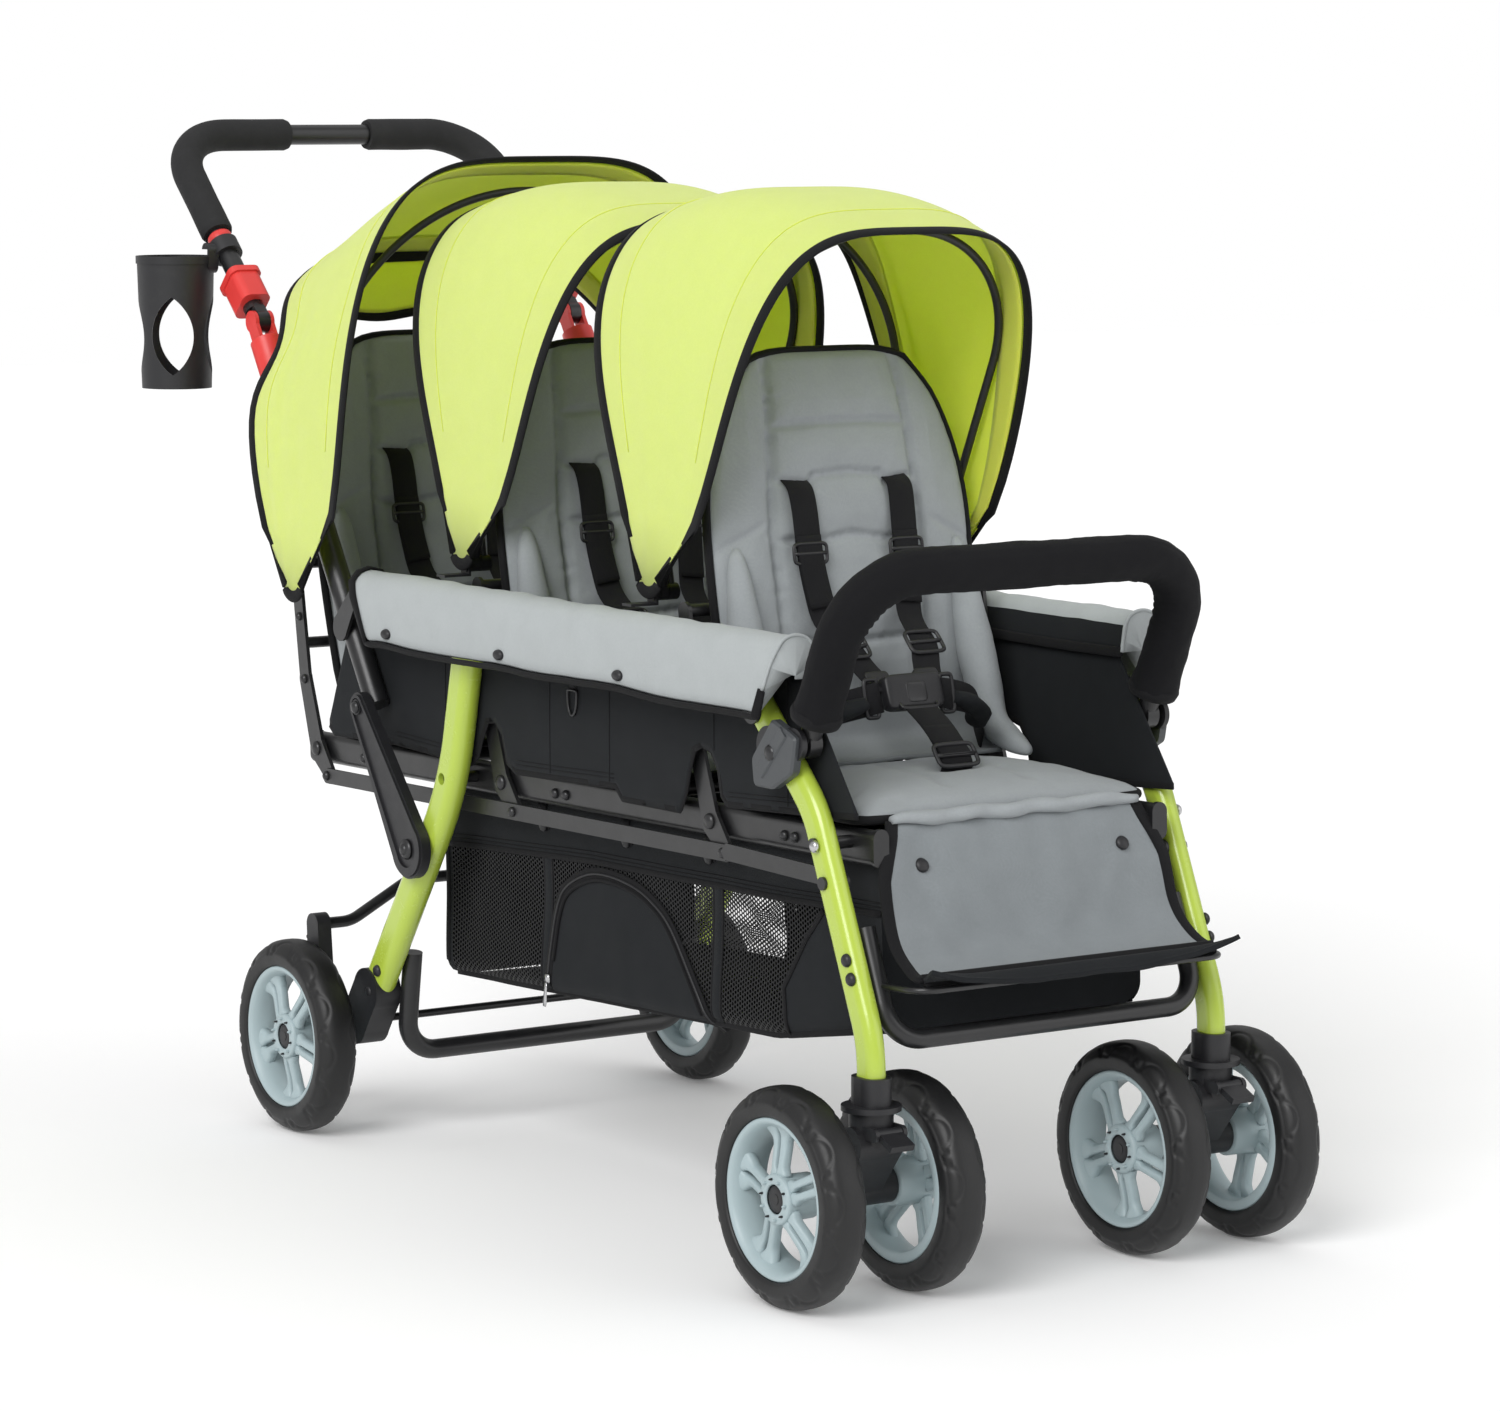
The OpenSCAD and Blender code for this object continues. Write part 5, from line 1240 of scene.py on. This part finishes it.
def makeTyreForm():
    c = tyreSpec
    half = tyreProfile()
    ring = [(-x, r, d, -1) for x, r, d in reversed(half[1:])] + [(x, r, d, 1) for x, r, d in half]
    pitch = 2 * pi * c["tread"] / c["blocks"]
    side = c["shoulder"]  # where the tread ends and the side wall begins
    verts = []
    for k in range(c["steps"]):
        a = 2 * pi * k / c["steps"]
        for x, r, d, s in ring:
            w = (a * c["tread"] + (0 if s > 0 else pitch / 2)) % pitch - pitch / 2
            e = hypot(w / 17.0, (d - side) / 15.5)
            cut = c["groove"] * exp(-((e - 1) * 15 / 1.5) ** 2) if d < 27 else 0.0
            inside = 0.35 * smooth(1.05, 0.8, e) if d < 27 else 0.0
            lip = 1.3 * exp(-((d - side - 1.6 * sin(2 * pi * w / pitch)) / 1.3) ** 2) * smooth(15, 21, abs(w))
            notch = 1.6 * exp(-((abs(w) - 19.5) / 1.6) ** 2) * smooth(16, 20, d) * smooth(30, 26, d)
            dip = max(cut, lip, notch) + inside
            n = Vector((x / 24, (r - 80) / 24)).normalized()
            rr, xx = r - n.y * dip, x - n.x * dip
            verts.append(mm(xx, rr * cos(a), rr * sin(a)))
    faces = gridFaces(c["steps"], len(ring), True, True)
    return fixNormals(newMesh("tyreForm", verts, faces, tyreFoam))


def makeRimForm():
    c = rimSpec

    def turned(name, line, mat, steps):
        return lathe(name, [(r / 1000, h / 1000) for r, h in line], mat, (0, 0, 0), (1, 0, 0), steps)

    parts = [turned("barrel", c["barrel"], rimPlastic, 96), turned("hub", c["core"], rimPlastic, 64)]
    for k in range(c["dowels"]):  # small dowels round the hub
        a = 2 * pi * (k + 0.5) / c["dowels"]
        r, mat = (0.0016, rimPlastic) if k % 2 else (0.0012, blackPlastic)
        parts.append(domeSnap("dowel", (0.0166, 0.0182 * cos(a), 0.0182 * sin(a)), (1, 0, 0), r, mat=mat))
    along, across = 23, 9
    for k in range(c["pairs"]):  # twin spokes with a slot between them
        a = 2 * pi * k / c["pairs"] + 0.25
        for s in (-1, 1):
            front, back = [], []
            for i in range(along):
                u = i / (along - 1)
                r = mix(c["hub"], c["reach"], u)
                wide = 9.0 + 2.2 * u + 11.5 * smooth(0.62, 1.05, u) + 3.0 * smooth(0.2, 0.0, u)
                slot = c["slot"] * smooth(0.10, 0.2, u) * smooth(0.96, 0.82, u)
                fr, ba = [], []
                for j in range(across):
                    v = j / (across - 1)
                    t = s * mix(slot, wide, v)
                    edge = abs(2 * v - 1) ** 4
                    dish = 14.2 - 5.2 * smooth(0, 0.75, u) + 2.8 * smooth(0.75, 1, u)
                    face = dish - 2.2 * edge - 1.6 * v
                    y, z = r * cos(a) - t * sin(a), r * sin(a) + t * cos(a)
                    keep = min(1.0, 65.5 / hypot(y, z))
                    fr.append(mm(face, y * keep, z * keep))
                    ba.append(mm(dish - c["thick"] - 2 + 1.4 * edge, y * keep, z * keep))
                front.append(fr)
                back.append(ba)
            parts.append(shell("spoke", front, back, rimPlastic))
    return joined("rimForm", parts + [turned("hubCap", c["cap"], blackPlastic, 40)])


tyreForm = makeTyreForm()
rimForm = makeRimForm()
wheelPlaces = {"left_outer": (33, 256.5, 1), "left_inner": (33, 127.5, -1), "right_outer": (33, -256.5, -1),
               "right_inner": (33, -127.5, 1), "rear_left": (955, 246, 1), "rear_right": (955, -246, -1)}
for label, (y, x, out) in wheelPlaces.items():
    turn = 0.7 * len(label)  # each wheel has come to rest at an angle of its own

    def toWheel(p):
        c, s = cos(turn), sin(turn)
        return st(y, wheelRadius, x) + Vector((out * p.x, out * (p.y * c - p.z * s), p.y * s + p.z * c))

    place(placedCopy(tyreForm, "tyre." + label, toWheel), label + "_wheel", "tyre", label + "_tyre")
    place(placedCopy(rimForm, "rim." + label, toWheel), label + "_wheel", "grey_plastic", label + "_rim")
for form in (tyreForm, rimForm):
    bpy.data.objects.remove(form)
print("wheels done")

# cargo basket: a sagging tray of cloth and net hung below the rails, with a zipped door in each side
basketSpec = {"half": 148.8, "front": 48.5, "rear": 814, "corner": 20, "hang": (402, 40, 0.017615, 12.0),
              "floor": [(48, 232), (62, 228.5), (222, 199), (816, 173.5)],
              "hem": [(48, 341), (198, 334), (537, 326), (790, 312), (816, 310)],
              "toe": [(190, 201), (202, 205), (215, 201), (251, 207), (303, 170), (335, 139), (345, 130)],
              "door": [(322, 185), (325, 190), (339, 216), (368, 249), (402, 284), (428, 300), (456, 310),
                       (488, 315), (517, 316), (540, 313), (562, 306), (582, 296), (595, 284), (604, 262),
                       (610, 232), (614, 203), (615, 185)],
              "bands": (318, 622), "band": 7.5, "tabs": (620, 468, 324), "zip": (613, 200)}


def basketTop(y):
    z0, y0, k, drop = basketSpec["hang"]
    return z0 - (y - y0) * k - drop


def wallPoint(y, z, side, lift=0.0):  # on the side wall, in millimetres
    c = basketSpec
    lo, hi = lineAt(c["floor"], y), basketTop(y)
    h = min(1, max(0, (z - lo) / (hi - lo)))
    r = c["corner"]
    tuck = 0.0
    if z < lo + r:
        tuck = r - sqrt(max(0.0, r * r - (lo + r - z) ** 2))
    sag = 3.2 * sin(pi * h) * smooth(c["front"], c["front"] + 80, y) * smooth(c["rear"], c["rear"] - 60, y)
    net = smooth(0.86, 0.7, h)
    wave = wobble(y * 0.011, z * 0.012, side * 4.0) * 3.4 + wobble(y * 0.03, z * 0.02, side + 9.0) * 1.3
    return st(y, z, side * (c["half"] + lift - tuck - sag - (1.6 + wave * 0.6) * net))


def isSolid(y, z):
    c = basketSpec
    if z > lineAt(c["hem"], y) or z < lineAt(c["floor"], y) + 7 or y > c["rear"] - 8:
        return True
    if y < lineAt(c["toe"], z) or any(abs(y - b) < c["band"] for b in c["bands"]):
        return True
    return c["door"][0][0] < y < c["door"][-1][0] and z < lineAt(c["door"], y) - 2


def makeBasket():
    c = basketSpec
    cols, rows, across = 150, 40, 25
    ys = [mix(c["front"], c["rear"], k / (cols - 1)) for k in range(cols)]
    verts, faces, solid = [], [], []
    m = 2 * rows + across
    for y in ys:
        lo, hi = lineAt(c["floor"], y), basketTop(y)
        levels = [mix(hi, lo, k / (rows - 1)) for k in range(rows)]
        verts += [wallPoint(y, z, 1) for z in levels]
        left, right = verts[-1].x, wallPoint(y, lo, -1).x
        for k in range(1, across + 1):
            u = k / (across + 1)
            belly = sin(pi * u) * 2.5 * smooth(c["front"], c["front"] + 60, y)
            lump = wobble(u * 4, y * 0.012, 6.0) * 1.5 * sin(pi * u)
            verts.append(Vector((mix(left, right, u), st(y, 0).y, (lo - 0.8 * belly + lump) / 1000)))
        verts += [wallPoint(y, z, -1) for z in reversed(levels)]
    for i in range(cols - 1):
        for j in range(m - 1):
            a = i * m + j
            faces.append([a, a + 1, a + m + 1, a + m])
            y = (ys[i] + ys[i + 1]) / 2
            k = j if j < rows else (m - 2 - j if j >= m - rows else -1)
            lo, hi = lineAt(c["floor"], y), basketTop(y)
            solid.append(True if k < 0 else isSolid(y, mix(hi, lo, (k + 0.5) / (rows - 1))))
    tray = newMesh("basketTray", verts, faces, blackCloth)
    tray.data.materials.append(netCloth)
    tray.data.polygons.foreach_set("material_index", [0 if s else 1 for s in solid])
    ends, high, wide = [], 18, 30
    for y0, step in ((c["front"], 1), (c["rear"], -1)):
        lo, hi = lineAt(c["floor"], y0), basketTop(y0)
        grid = []
        for r in range(high + 1):
            z = mix(lo, hi, r / high)
            left, right = wallPoint(y0, z, 1).x, wallPoint(y0, z, -1).x
            row = []
            for k in range(wide + 1):
                u = k / wide
                bulge = (6 + 3 * wobble(u * 4, z * 0.02, y0)) * sin(pi * u) * sin(pi * r / high)
                row.append(Vector((mix(left, right, u), st(y0, 0).y + step * bulge / 1000, z / 1000)))
            grid.append(row)
        ends.append(gridMesh("end", grid, blackCloth))
    endOb = joined("basketEnds", ends)
    trims, doors, metal = [], [], []
    for side in (1, -1):
        def tapeLine(pts, w, t, lift, mat=binding):
            path = [wallPoint(y, z, side, lift) for y, z in pts]
            trims.append(sweep("tape", path, flat(w, t), mat, up=(side, 0, 0)))

        tapeLine([(y, lineAt(c["hem"], y)) for y in ys[::2]], 0.006, 0.0016, 0.6)
        tapeLine([(y, lineAt(c["floor"], y) + 5) for y in ys[1:-1:2]], 0.007, 0.0018, 0.4)
        tapeLine([(y, basketTop(y) - 3) for y in ys[::3]], 0.007, 0.002, 0.2)
        tapeLine([(lineAt(c["toe"], z), z) for z in range(206, 336, 5)], 0.006, 0.0016, 0.6)
        tapeLine([(c["rear"] - 3, z) for z in range(190, 372, 6)], 0.007, 0.002, 0.4)
        for b in c["bands"]:
            lo, hi = lineAt(c["floor"], b), lineAt(c["hem"], b)
            for off in (-c["band"], c["band"]):
                tapeLine([(b + off, mix(lo + 8, hi, k / 24)) for k in range(25)], 0.003, 0.001, 0.5)
            tapeLine([(b, mix(lo + 6, hi, k / 24)) for k in range(25)], 0.0145, 0.0009, 0.3, blackCloth)
        for drop in (6, 10):
            trims.append(stitchLine([wallPoint(y, lineAt(c["hem"], y) + drop, side, 0.5) for y in ys[::2]]))
        arch = smoothPath([Vector((y, z, 0)) for y, z in c["door"][1:-1]], 5)
        grid, long, tall = [], 58, 20
        for k in range(long + 1):
            y = mix(c["door"][1][0], c["door"][-2][0], k / long)
            lo, hi = lineAt(c["floor"], y) + 1, lineAt(c["door"], y)
            row = []
            for r in range(tall + 1):
                z = mix(lo, max(hi, lo + 1), r / tall)
                puff = 2.4 * sin(pi * r / tall) * sin(pi * k / long)
                row.append(wallPoint(y, z, side, 1.4 + puff))
            grid.append(row)
        doors.append(gridMesh("door", grid, blackCloth, 0.0012))
        outer = [wallPoint(p.x, p.y, side, 2.2) for p in arch]
        trims.append(sweep("zipTape", outer, flat(0.0125, 0.0013), binding, up=(side, 0, 0)))
        teeth = [p + Vector((side * 0.0009, 0, 0)) for p in outer]
        trims.append(sweep("zipTeeth", teeth, circle(0.0014, 6), blackPlastic))
        lip = [wallPoint(mix(p.x, 470, 0.055), mix(p.y, 190, 0.045), side, 3.3) for p in arch[3:-3]]
        trims.append(sweep("doorPiping", lip, circle(0.0019, 8), binding))
        base = wallPoint(*c["zip"], side, 4.0)
        body = [base + Vector((0, 0, 0.007 * k)) for k in (0.6, 0.2, -0.2, -0.6)]
        metal.append(sweep("slider", body, flat(0.0085, 0.0046), steel, up=(side, 0, 0), sizes=[0.8, 1, 1, 0.72]))
        pull = [base + Vector((side * 0.002, 0.0006 * k, -0.004 - 0.0048 * k)) for k in range(6)]
        metal.append(sweep("pull", pull, flat(0.0062, 0.0018), steel, up=(side, 0, 0),
                           sizes=[0.5, 0.8, 0.75, 0.85, 1.0, 0.8]))
        for y in c["tabs"]:
            top = basketTop(y)
            tab = [wallPoint(y + 2 * sin(k), top - 4 - 7 * k, side, 1.2 + 1.6 * sin(k * 0.9)) for k in range(5)]
            trims.append(sweep("tab", tab, flat(0.013, 0.0018), webbing, up=(side, 0, 0)))
            metal.append(domeSnap("stud", wallPoint(y, top - 27, side, 3.0), (side, 0, -0.15), 0.0058, (1, 1.3)))
    doorOb, trimOb = joined("basketDoors", doors), joined("basketTrim", trims)
    metalOb = joined("basketFittings", metal)
    for ob in (tray, endOb, doorOb, trimOb):
        place(ob, "frame", "black_cloth")
    place(metalOb, "frame", "black_plastic")
    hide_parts("basket")


makeBasket()

# harness: five straps a seat, meeting in a moulded buckle over the pad
harnessSpec = {"strap": 0.029, "thick": 0.0019, "buckle": (209.5, 515), "crotch": 0.038,
               "shoulder": [(57, 312, -14), (57, 302, -25), (56, 280, -28.5), (55, 240, -29.5), (52, 205, -32),
                            (48, 176, -38)],
               "chest": [(250, 556, 43), (236, 538, 36), (222, 524, 29)],
               "fold": [(55.4, 258, -30.6), (55, 240, -31.6), (53, 216, -33.4), (50, 190, -37)],
               "waist": [(211, 512, 34), (214, 508, 54), (228, 499, 84), (252, 480, 112), (270, 461, 122),
                         (279, 447, 124)],
               "waistFace": [(0, -1, 0.2), (0.1, -1, 0.2), (0.45, -0.9, 0.2), (0.8, -0.6, 0.2), (0.9, -0.4, 0.1),
                             (0.95, -0.3, 0.1)],
               "hip": [(213, 507, 50), (217, 500, 72), (230, 489, 92), (246, 476, 101)],
               "rise": [(139, 448.5), (136.5, 455), (145, 468), (166, 486), (190, 500), (205, 507)],
               "riseFold": [(139, 462), (153, 473), (170, 486)]}


def slab(name, centre, u, v, size, mat, power=0.32, crown=0.0):  # a moulded block with rounded edges
    u, v = Vector(u).normalized(), Vector(v).normalized()
    w = u.cross(v).normalized()
    rows, cols = 17, 32
    verts = []
    for i in range(rows):
        p = pi * i / (rows - 1) - pi / 2
        wide, c0 = signedPower(cos(p), power), signedPower(sin(p), power)
        for j in range(cols):
            q = 2 * pi * j / cols
            a, b, c = wide * signedPower(cos(q), power), wide * signedPower(sin(q), power), c0
            c *= 1 + crown * (1 - a * a) * (1 - b * b)
            verts.append(Vector(centre) + u * (a * size[0] / 2) + v * (b * size[1] / 2) + w * (c * size[2] / 2))
    return sharpen(fixNormals(newMesh(name, verts, gridFaces(rows, cols, False, True), mat)), 50)


def slider(centre, u, v, half, tall, bar=0.0036, mid=True):  # a ladder buckle: rounded frame and its cross bar
    u, v = Vector(u).normalized(), Vector(v).normalized()
    loop = []
    for k in range(32):
        a = 2 * pi * k / 32
        c, s = cos(a), sin(a)
        loop.append(Vector(centre) + u * (signedPower(c, 0.35) * half) + v * (signedPower(s, 0.35) * tall))
    parts = [sweep("loop", loop, flat(bar, bar * 0.9), blackPlastic, closed=True, up=u.cross(v))]
    if mid:
        across = [Vector(centre) + u * (half * k) for k in (-1, -0.5, 0, 0.5, 1)]
        parts.append(sweep("bar", across, circle(bar * 0.52, 8), blackPlastic))
    return parts


def strap(name, pts, ups, width, thick=harnessSpec["thick"]):
    return sweep(name, smoothPath(pts, 5), flat(width, thick), webbing, up=smoothPath(ups, 5))


def makeHarness(i, label):
    c = harnessSpec
    dy, dz = seatSpec["pitch"] * i, -seatSpec["pitch"] * seatSpec["pivot"][3] * i

    def at(y, z, x=0.0):
        return st(y + dy, z + dz, x)

    face = (backPoint(0, 0, 0, -1) - backPoint(0, 0, 0, 0)).normalized()
    up = (backPoint(0, 0, 1, 0) - backPoint(0, 0, 0, 0)).normalized()
    side, tilt, front = Vector((1, 0, 0)), Vector((0, 0.7, 0.71)), Vector((0, -0.75, 0.66))
    straps, fittings = [], []
    for s in (-1, 1):
        run = [backPoint(i, s * x, u, v) for x, u, v in c["shoulder"]]
        run += [at(y, z, s * x) for y, z, x in c["chest"]]
        ups = [face] * len(c["shoulder"]) + [front, Vector((0, -0.7, 0.71)), Vector((0, -0.7, 0.71))]
        straps.append(strap("shoulder", run, ups, c["strap"]))
        lap = [backPoint(i, s * x, u, v) for x, u, v in c["fold"]]
        straps.append(strap("fold", lap, [face] * len(lap), c["strap"] * 0.96))
        fittings += slider(backPoint(i, s * 55, 241, -31.2), side, up, 0.0185, 0.0095)
        chest = at(249, 555, s * 42.5) + Vector((0, -0.0012, 0.0012))
        fittings += slider(chest, side, tilt, 0.0188, 0.0125, 0.0042)
        fittings.append(slab("tongue", at(222, 524, s * 28), side, tilt, (0.027, 0.024, 0.0075), blackPlastic))
        waist = [at(y, z, s * x) for y, z, x in c["waist"]]
        straps.append(strap("waist", waist, [Vector((s * x, y, z)) for x, y, z in c["waistFace"]], c["strap"]))

        def radius(run, share, a):
            plump = 0.62 + 0.38 * sin(pi * min(1, share * 0.96 + 0.02)) ** 0.5
            return (14.5 + 1.2 * wobble(run * 0.09, a, i * 2.0 + s)) * plump * (1 - 0.42 * abs(cos(a)))

        hip = smoothPath([at(y, z, s * x) for y, z, x in c["hip"]], 7)
        straps.append(sleeve("hipPad", hip, radius, blackCloth, 22))
        fittings += slider(at(212.5, 511, s * 43), side, (0, 0.2, 1), 0.0075, 0.0178, 0.0042, mid=False)
    by, bz = c["buckle"]
    stand = (0, 0.35, 0.94)
    fittings.append(slab("buckle", at(by, bz), side, stand, (0.064, 0.034, 0.0165), blackPlastic, 0.3, 0.12))
    fittings.append(slab("button", at(by - 7.6, bz + 1), side, stand, (0.023, 0.020, 0.0045), darkSteel, 0.4, 0.1))
    for k in (-1, 0, 1):  # ribs to grip on both ends of the buckle
        for xs in ((-24, -20, -16), (16, 20, 24)):
            rib = [at(by - 8.2 + 2.4 * k * 0.37, bz - 11 + 3.2 * k, x) for x in xs]
            fittings.append(sweep("grip", rib, circle(0.0009, 6), blackPlastic))
    ups = [Vector((0, -1, 0.2)), Vector((0, -1, 0.15)), front, front, front, front]
    straps.append(strap("crotch", [at(y, z) for y, z in c["rise"]], ups, c["crotch"] * 0.94, 0.0026))
    second = [at(y, z) + Vector((0, -0.0022, 0.002)) for y, z in c["riseFold"]]
    straps.append(strap("crotchFold", second, [front] * len(second), c["crotch"] * 0.9, 0.002))
    low, high = at(140.5, 462.5) + Vector((0, -0.002, 0.0015)), at(199, 505) + Vector((0, -0.001, 0.001))
    fittings += slider(low, side, (0, 0.62, 0.78), 0.0222, 0.0118, 0.0044)
    fittings += slider(high, side, (0, 0.8, 0.5), 0.0205, 0.0065, mid=False)
    soft, moulded = joined("harness." + label, straps), joined("harnessFittings." + label, fittings)
    for ob, slot in ((soft, "black_cloth"), (moulded, "black_plastic")):
        at(222, 520)
        at(282, 582)
        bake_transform(ob)


for i, label in enumerate(seatNames):
    makeHarness(i, label)
print("basket and harness done")

# grab bar clamps: the moulded shells that hold the bar on the front legs
clampSpec = {"edge": [(128, 513), (161, 474), (157, 449), (127, 449), (96, 466), (90, 499)], "screw": (129, 482),
             "levels": ((203.2, 0), (210.6, 0), (212.6, 2.4)), "ridge": ((108, 503), (146, 462)), "face": 212.4}


def makeClamps():
    c = clampSpec
    ring = []
    for k, q in enumerate(c["edge"]):  # straight edges with small rounded corners
        a, b = (Vector((0, *c["edge"][(k + d) % len(c["edge"])])) - Vector((0, *q)) for d in (-1, 1))
        a, b = a.normalized() * 4, b.normalized() * 4
        for u in (0, 0.33, 0.67, 1):
            ring.append(Vector((0, *q)) + a * (1 - u) ** 2 + b * u ** 2)
    mid = sum(ring, Vector()) / len(ring)
    bits = []
    for s in (-1, 1):
        verts = []
        for x, inset in c["levels"]:
            for q in ring:
                d = mid - q
                verts.append(st(q.y + d.y * inset / d.length, q.z + d.z * inset / d.length, s * x))
        n = len(ring)
        faces = gridFaces(len(c["levels"]), n, False, True)
        faces += [list(range(n)), [n * (len(c["levels"]) - 1) + k for k in reversed(range(n))]]
        bits.append(sharpen(fixNormals(newMesh("clamp", verts, faces, greyPlastic)), 30))
        ridge = [st(y, z, s * c["face"]) for y, z in c["ridge"]]
        bits.append(sweep("ridge", ridge, flat(0.0135, 0.0034), greyPlastic, up=(s, 0, 0), soft=False))
        bits.append(domeSnap("screw", st(*c["screw"], s * c["face"]), (s, 0, 0), 0.0078, mat=darkSteel))
    place(joined("grabClamps", bits), "frame", "black_plastic")


makeClamps()

# hardware: rivet heads, bolts and plugs, each (along, height, out to the side, radius)
hardwareSpec = {"rail": [(1038, 379), (954, 383), (933, 383.5), (575, 390), (555, 390.5), (177, 397.5), (160, 398)],
                "railRivet": (164.3, 0.0052), "frontLeg": [(24, 308, 202.2, 0.0062), (17, 292, 202.2, 0.0062)],
                "silver": (70, 404, 204.8, 0.0058),
                "rearLeg": [(859, 177, 204.2, 0.0062), (875, 153, 204.2, 0.0062)],
                "link": [(776, 314, 216.8, 0.0105), (776, 314, 219.2, 0.0062), (874.6, 447.9, 218.2, 0.0066)],
                "plateX": 171.7, "plate": [(74, 14, 0.0052), (140, 14, 0.0046)]}


def makeHardware():
    c = hardwareSpec
    frameBits, rearBits, linkBits = [], [], []

    def head(s, y, z, x, r, mat=blackPlastic):
        return domeSnap("head", st(y, z, s * x), (s, 0, 0), r, mat=mat)

    for s in (-1, 1):
        frameBits += [head(s, y, z, *c["railRivet"], darkSteel) for y, z in c["rail"]]
        frameBits += [head(s, *q) for q in c["frontLeg"]] + [head(s, *c["silver"], steel)]
        rearBits += [head(s, *q) for q in c["rearLeg"]]
        linkBits += [head(s, *q, darkSteel) for q in c["link"]]
    place(joined("frameRivets", frameBits), "frame", "black_paint")
    place(joined("rearLegPlugs", rearBits), "rear_frame", "black_plastic")
    place(joined("linkScrews", linkBits), "links", "black_paint")
    for i, label in enumerate(seatNames):
        y = seatSpec["pivot"][0] + seatSpec["pitch"] * i
        z = seatSpec["pivot"][2] - (y - seatSpec["pivot"][1]) * seatSpec["pivot"][3]
        bits = []
        for s in (-1, 1):
            bits.append(head(s, y, z, c["plateX"], 0.0078, darkSteel))
            for u, v, r in c["plate"]:
                bits.append(domeSnap("head", backPoint(i, s * c["plateX"], u, v), (s, 0, 0), r, mat=darkSteel))
            bits.append(head(s, y - 27, z - 26, 174.9, 0.0052, darkSteel))
        place(joined("plateRivets." + label, bits), "backrest_" + label, "black_paint")


makeHardware()
print("hardware done")


# stage: pale paper floor, three broad suns and the camera at the photograph's angle
stageSpec = {"azimuth": -33.8, "elevation": 6.94, "lens": 119.84, "eye": (-2.690, -4.1735, 1.0635), "ambient": 0.52,
             "floor": (14, 24),
             "suns": [("key", (-3.3, -1.9, 2.7), 34, 1.95), ("fill", (2.6, -3.6, 2.0), 50, 0.5),
                      ("top", (0.3, 0.9, 4.0), 60, 0.3)]}


def makeStage():
    floorMat = bpy.data.materials.new("paper")
    floorMat.use_nodes = True
    t = floorMat.node_tree
    bsdf = t.nodes["Principled BSDF"]
    grain = addNode(t, "ShaderNodeTexNoise", Scale=3.0, Detail=2.0)
    paper = colourMix(t, grain.outputs["Fac"], (0.93, 0.93, 0.93, 1), (0.96, 0.96, 0.96, 1))
    t.links.new(paper, bsdf.inputs["Base Color"])
    white = (1, 1, 1, 1)
    setInputs(bsdf, {"Roughness": 0.9, "Specular IOR Level": 0.1,
                     "Emission Color": white, "Emission Strength": 0.1})
    reach, n = stageSpec["floor"]
    line = [reach * (2 * k / n - 1) for k in range(n + 1)]
    floor = newMesh("floor", [(x, y, 0.0) for x in line for y in line], gridFaces(n + 1, n + 1), floorMat)
    world = bpy.data.worlds.new("studio")
    scene.world = world
    world.use_nodes = True
    tree = world.node_tree
    soft = tree.nodes["Background"]
    setInputs(soft, {"Color": white, "Strength": stageSpec["ambient"]})
    backdrop = addNode(tree, "ShaderNodeBackground", Strength=1.0, Color=white)
    pick = addNode(tree, "ShaderNodeMixShader")
    tree.links.new(addNode(tree, "ShaderNodeLightPath").outputs["Is Camera Ray"], pick.inputs[0])
    tree.links.new(soft.outputs[0], pick.inputs[1])
    tree.links.new(backdrop.outputs[0], pick.inputs[2])
    tree.links.new(pick.outputs[0], tree.nodes["World Output"].inputs["Surface"])
    for name, at, spread, power in stageSpec["suns"]:
        light = bpy.data.lights.new(name, "SUN")
        light.angle = radians(spread)
        light.energy = power
        ob = newObject(name, light)
        ob.location = at
        ob.rotation_euler = (-Vector(at)).to_track_quat("-Z", "Y").to_euler()
    cam = bpy.data.cameras.new("camera")
    cam.sensor_fit = "HORIZONTAL"
    cam.sensor_width = 36
    cam.lens = stageSpec["lens"]
    ob = newObject("camera", cam)
    ob.location = stageSpec["eye"]
    ob.rotation_euler = (radians(90 - stageSpec["elevation"]), 0, radians(stageSpec["azimuth"]))
    scene.camera = ob


makeStage()
print("stage done")
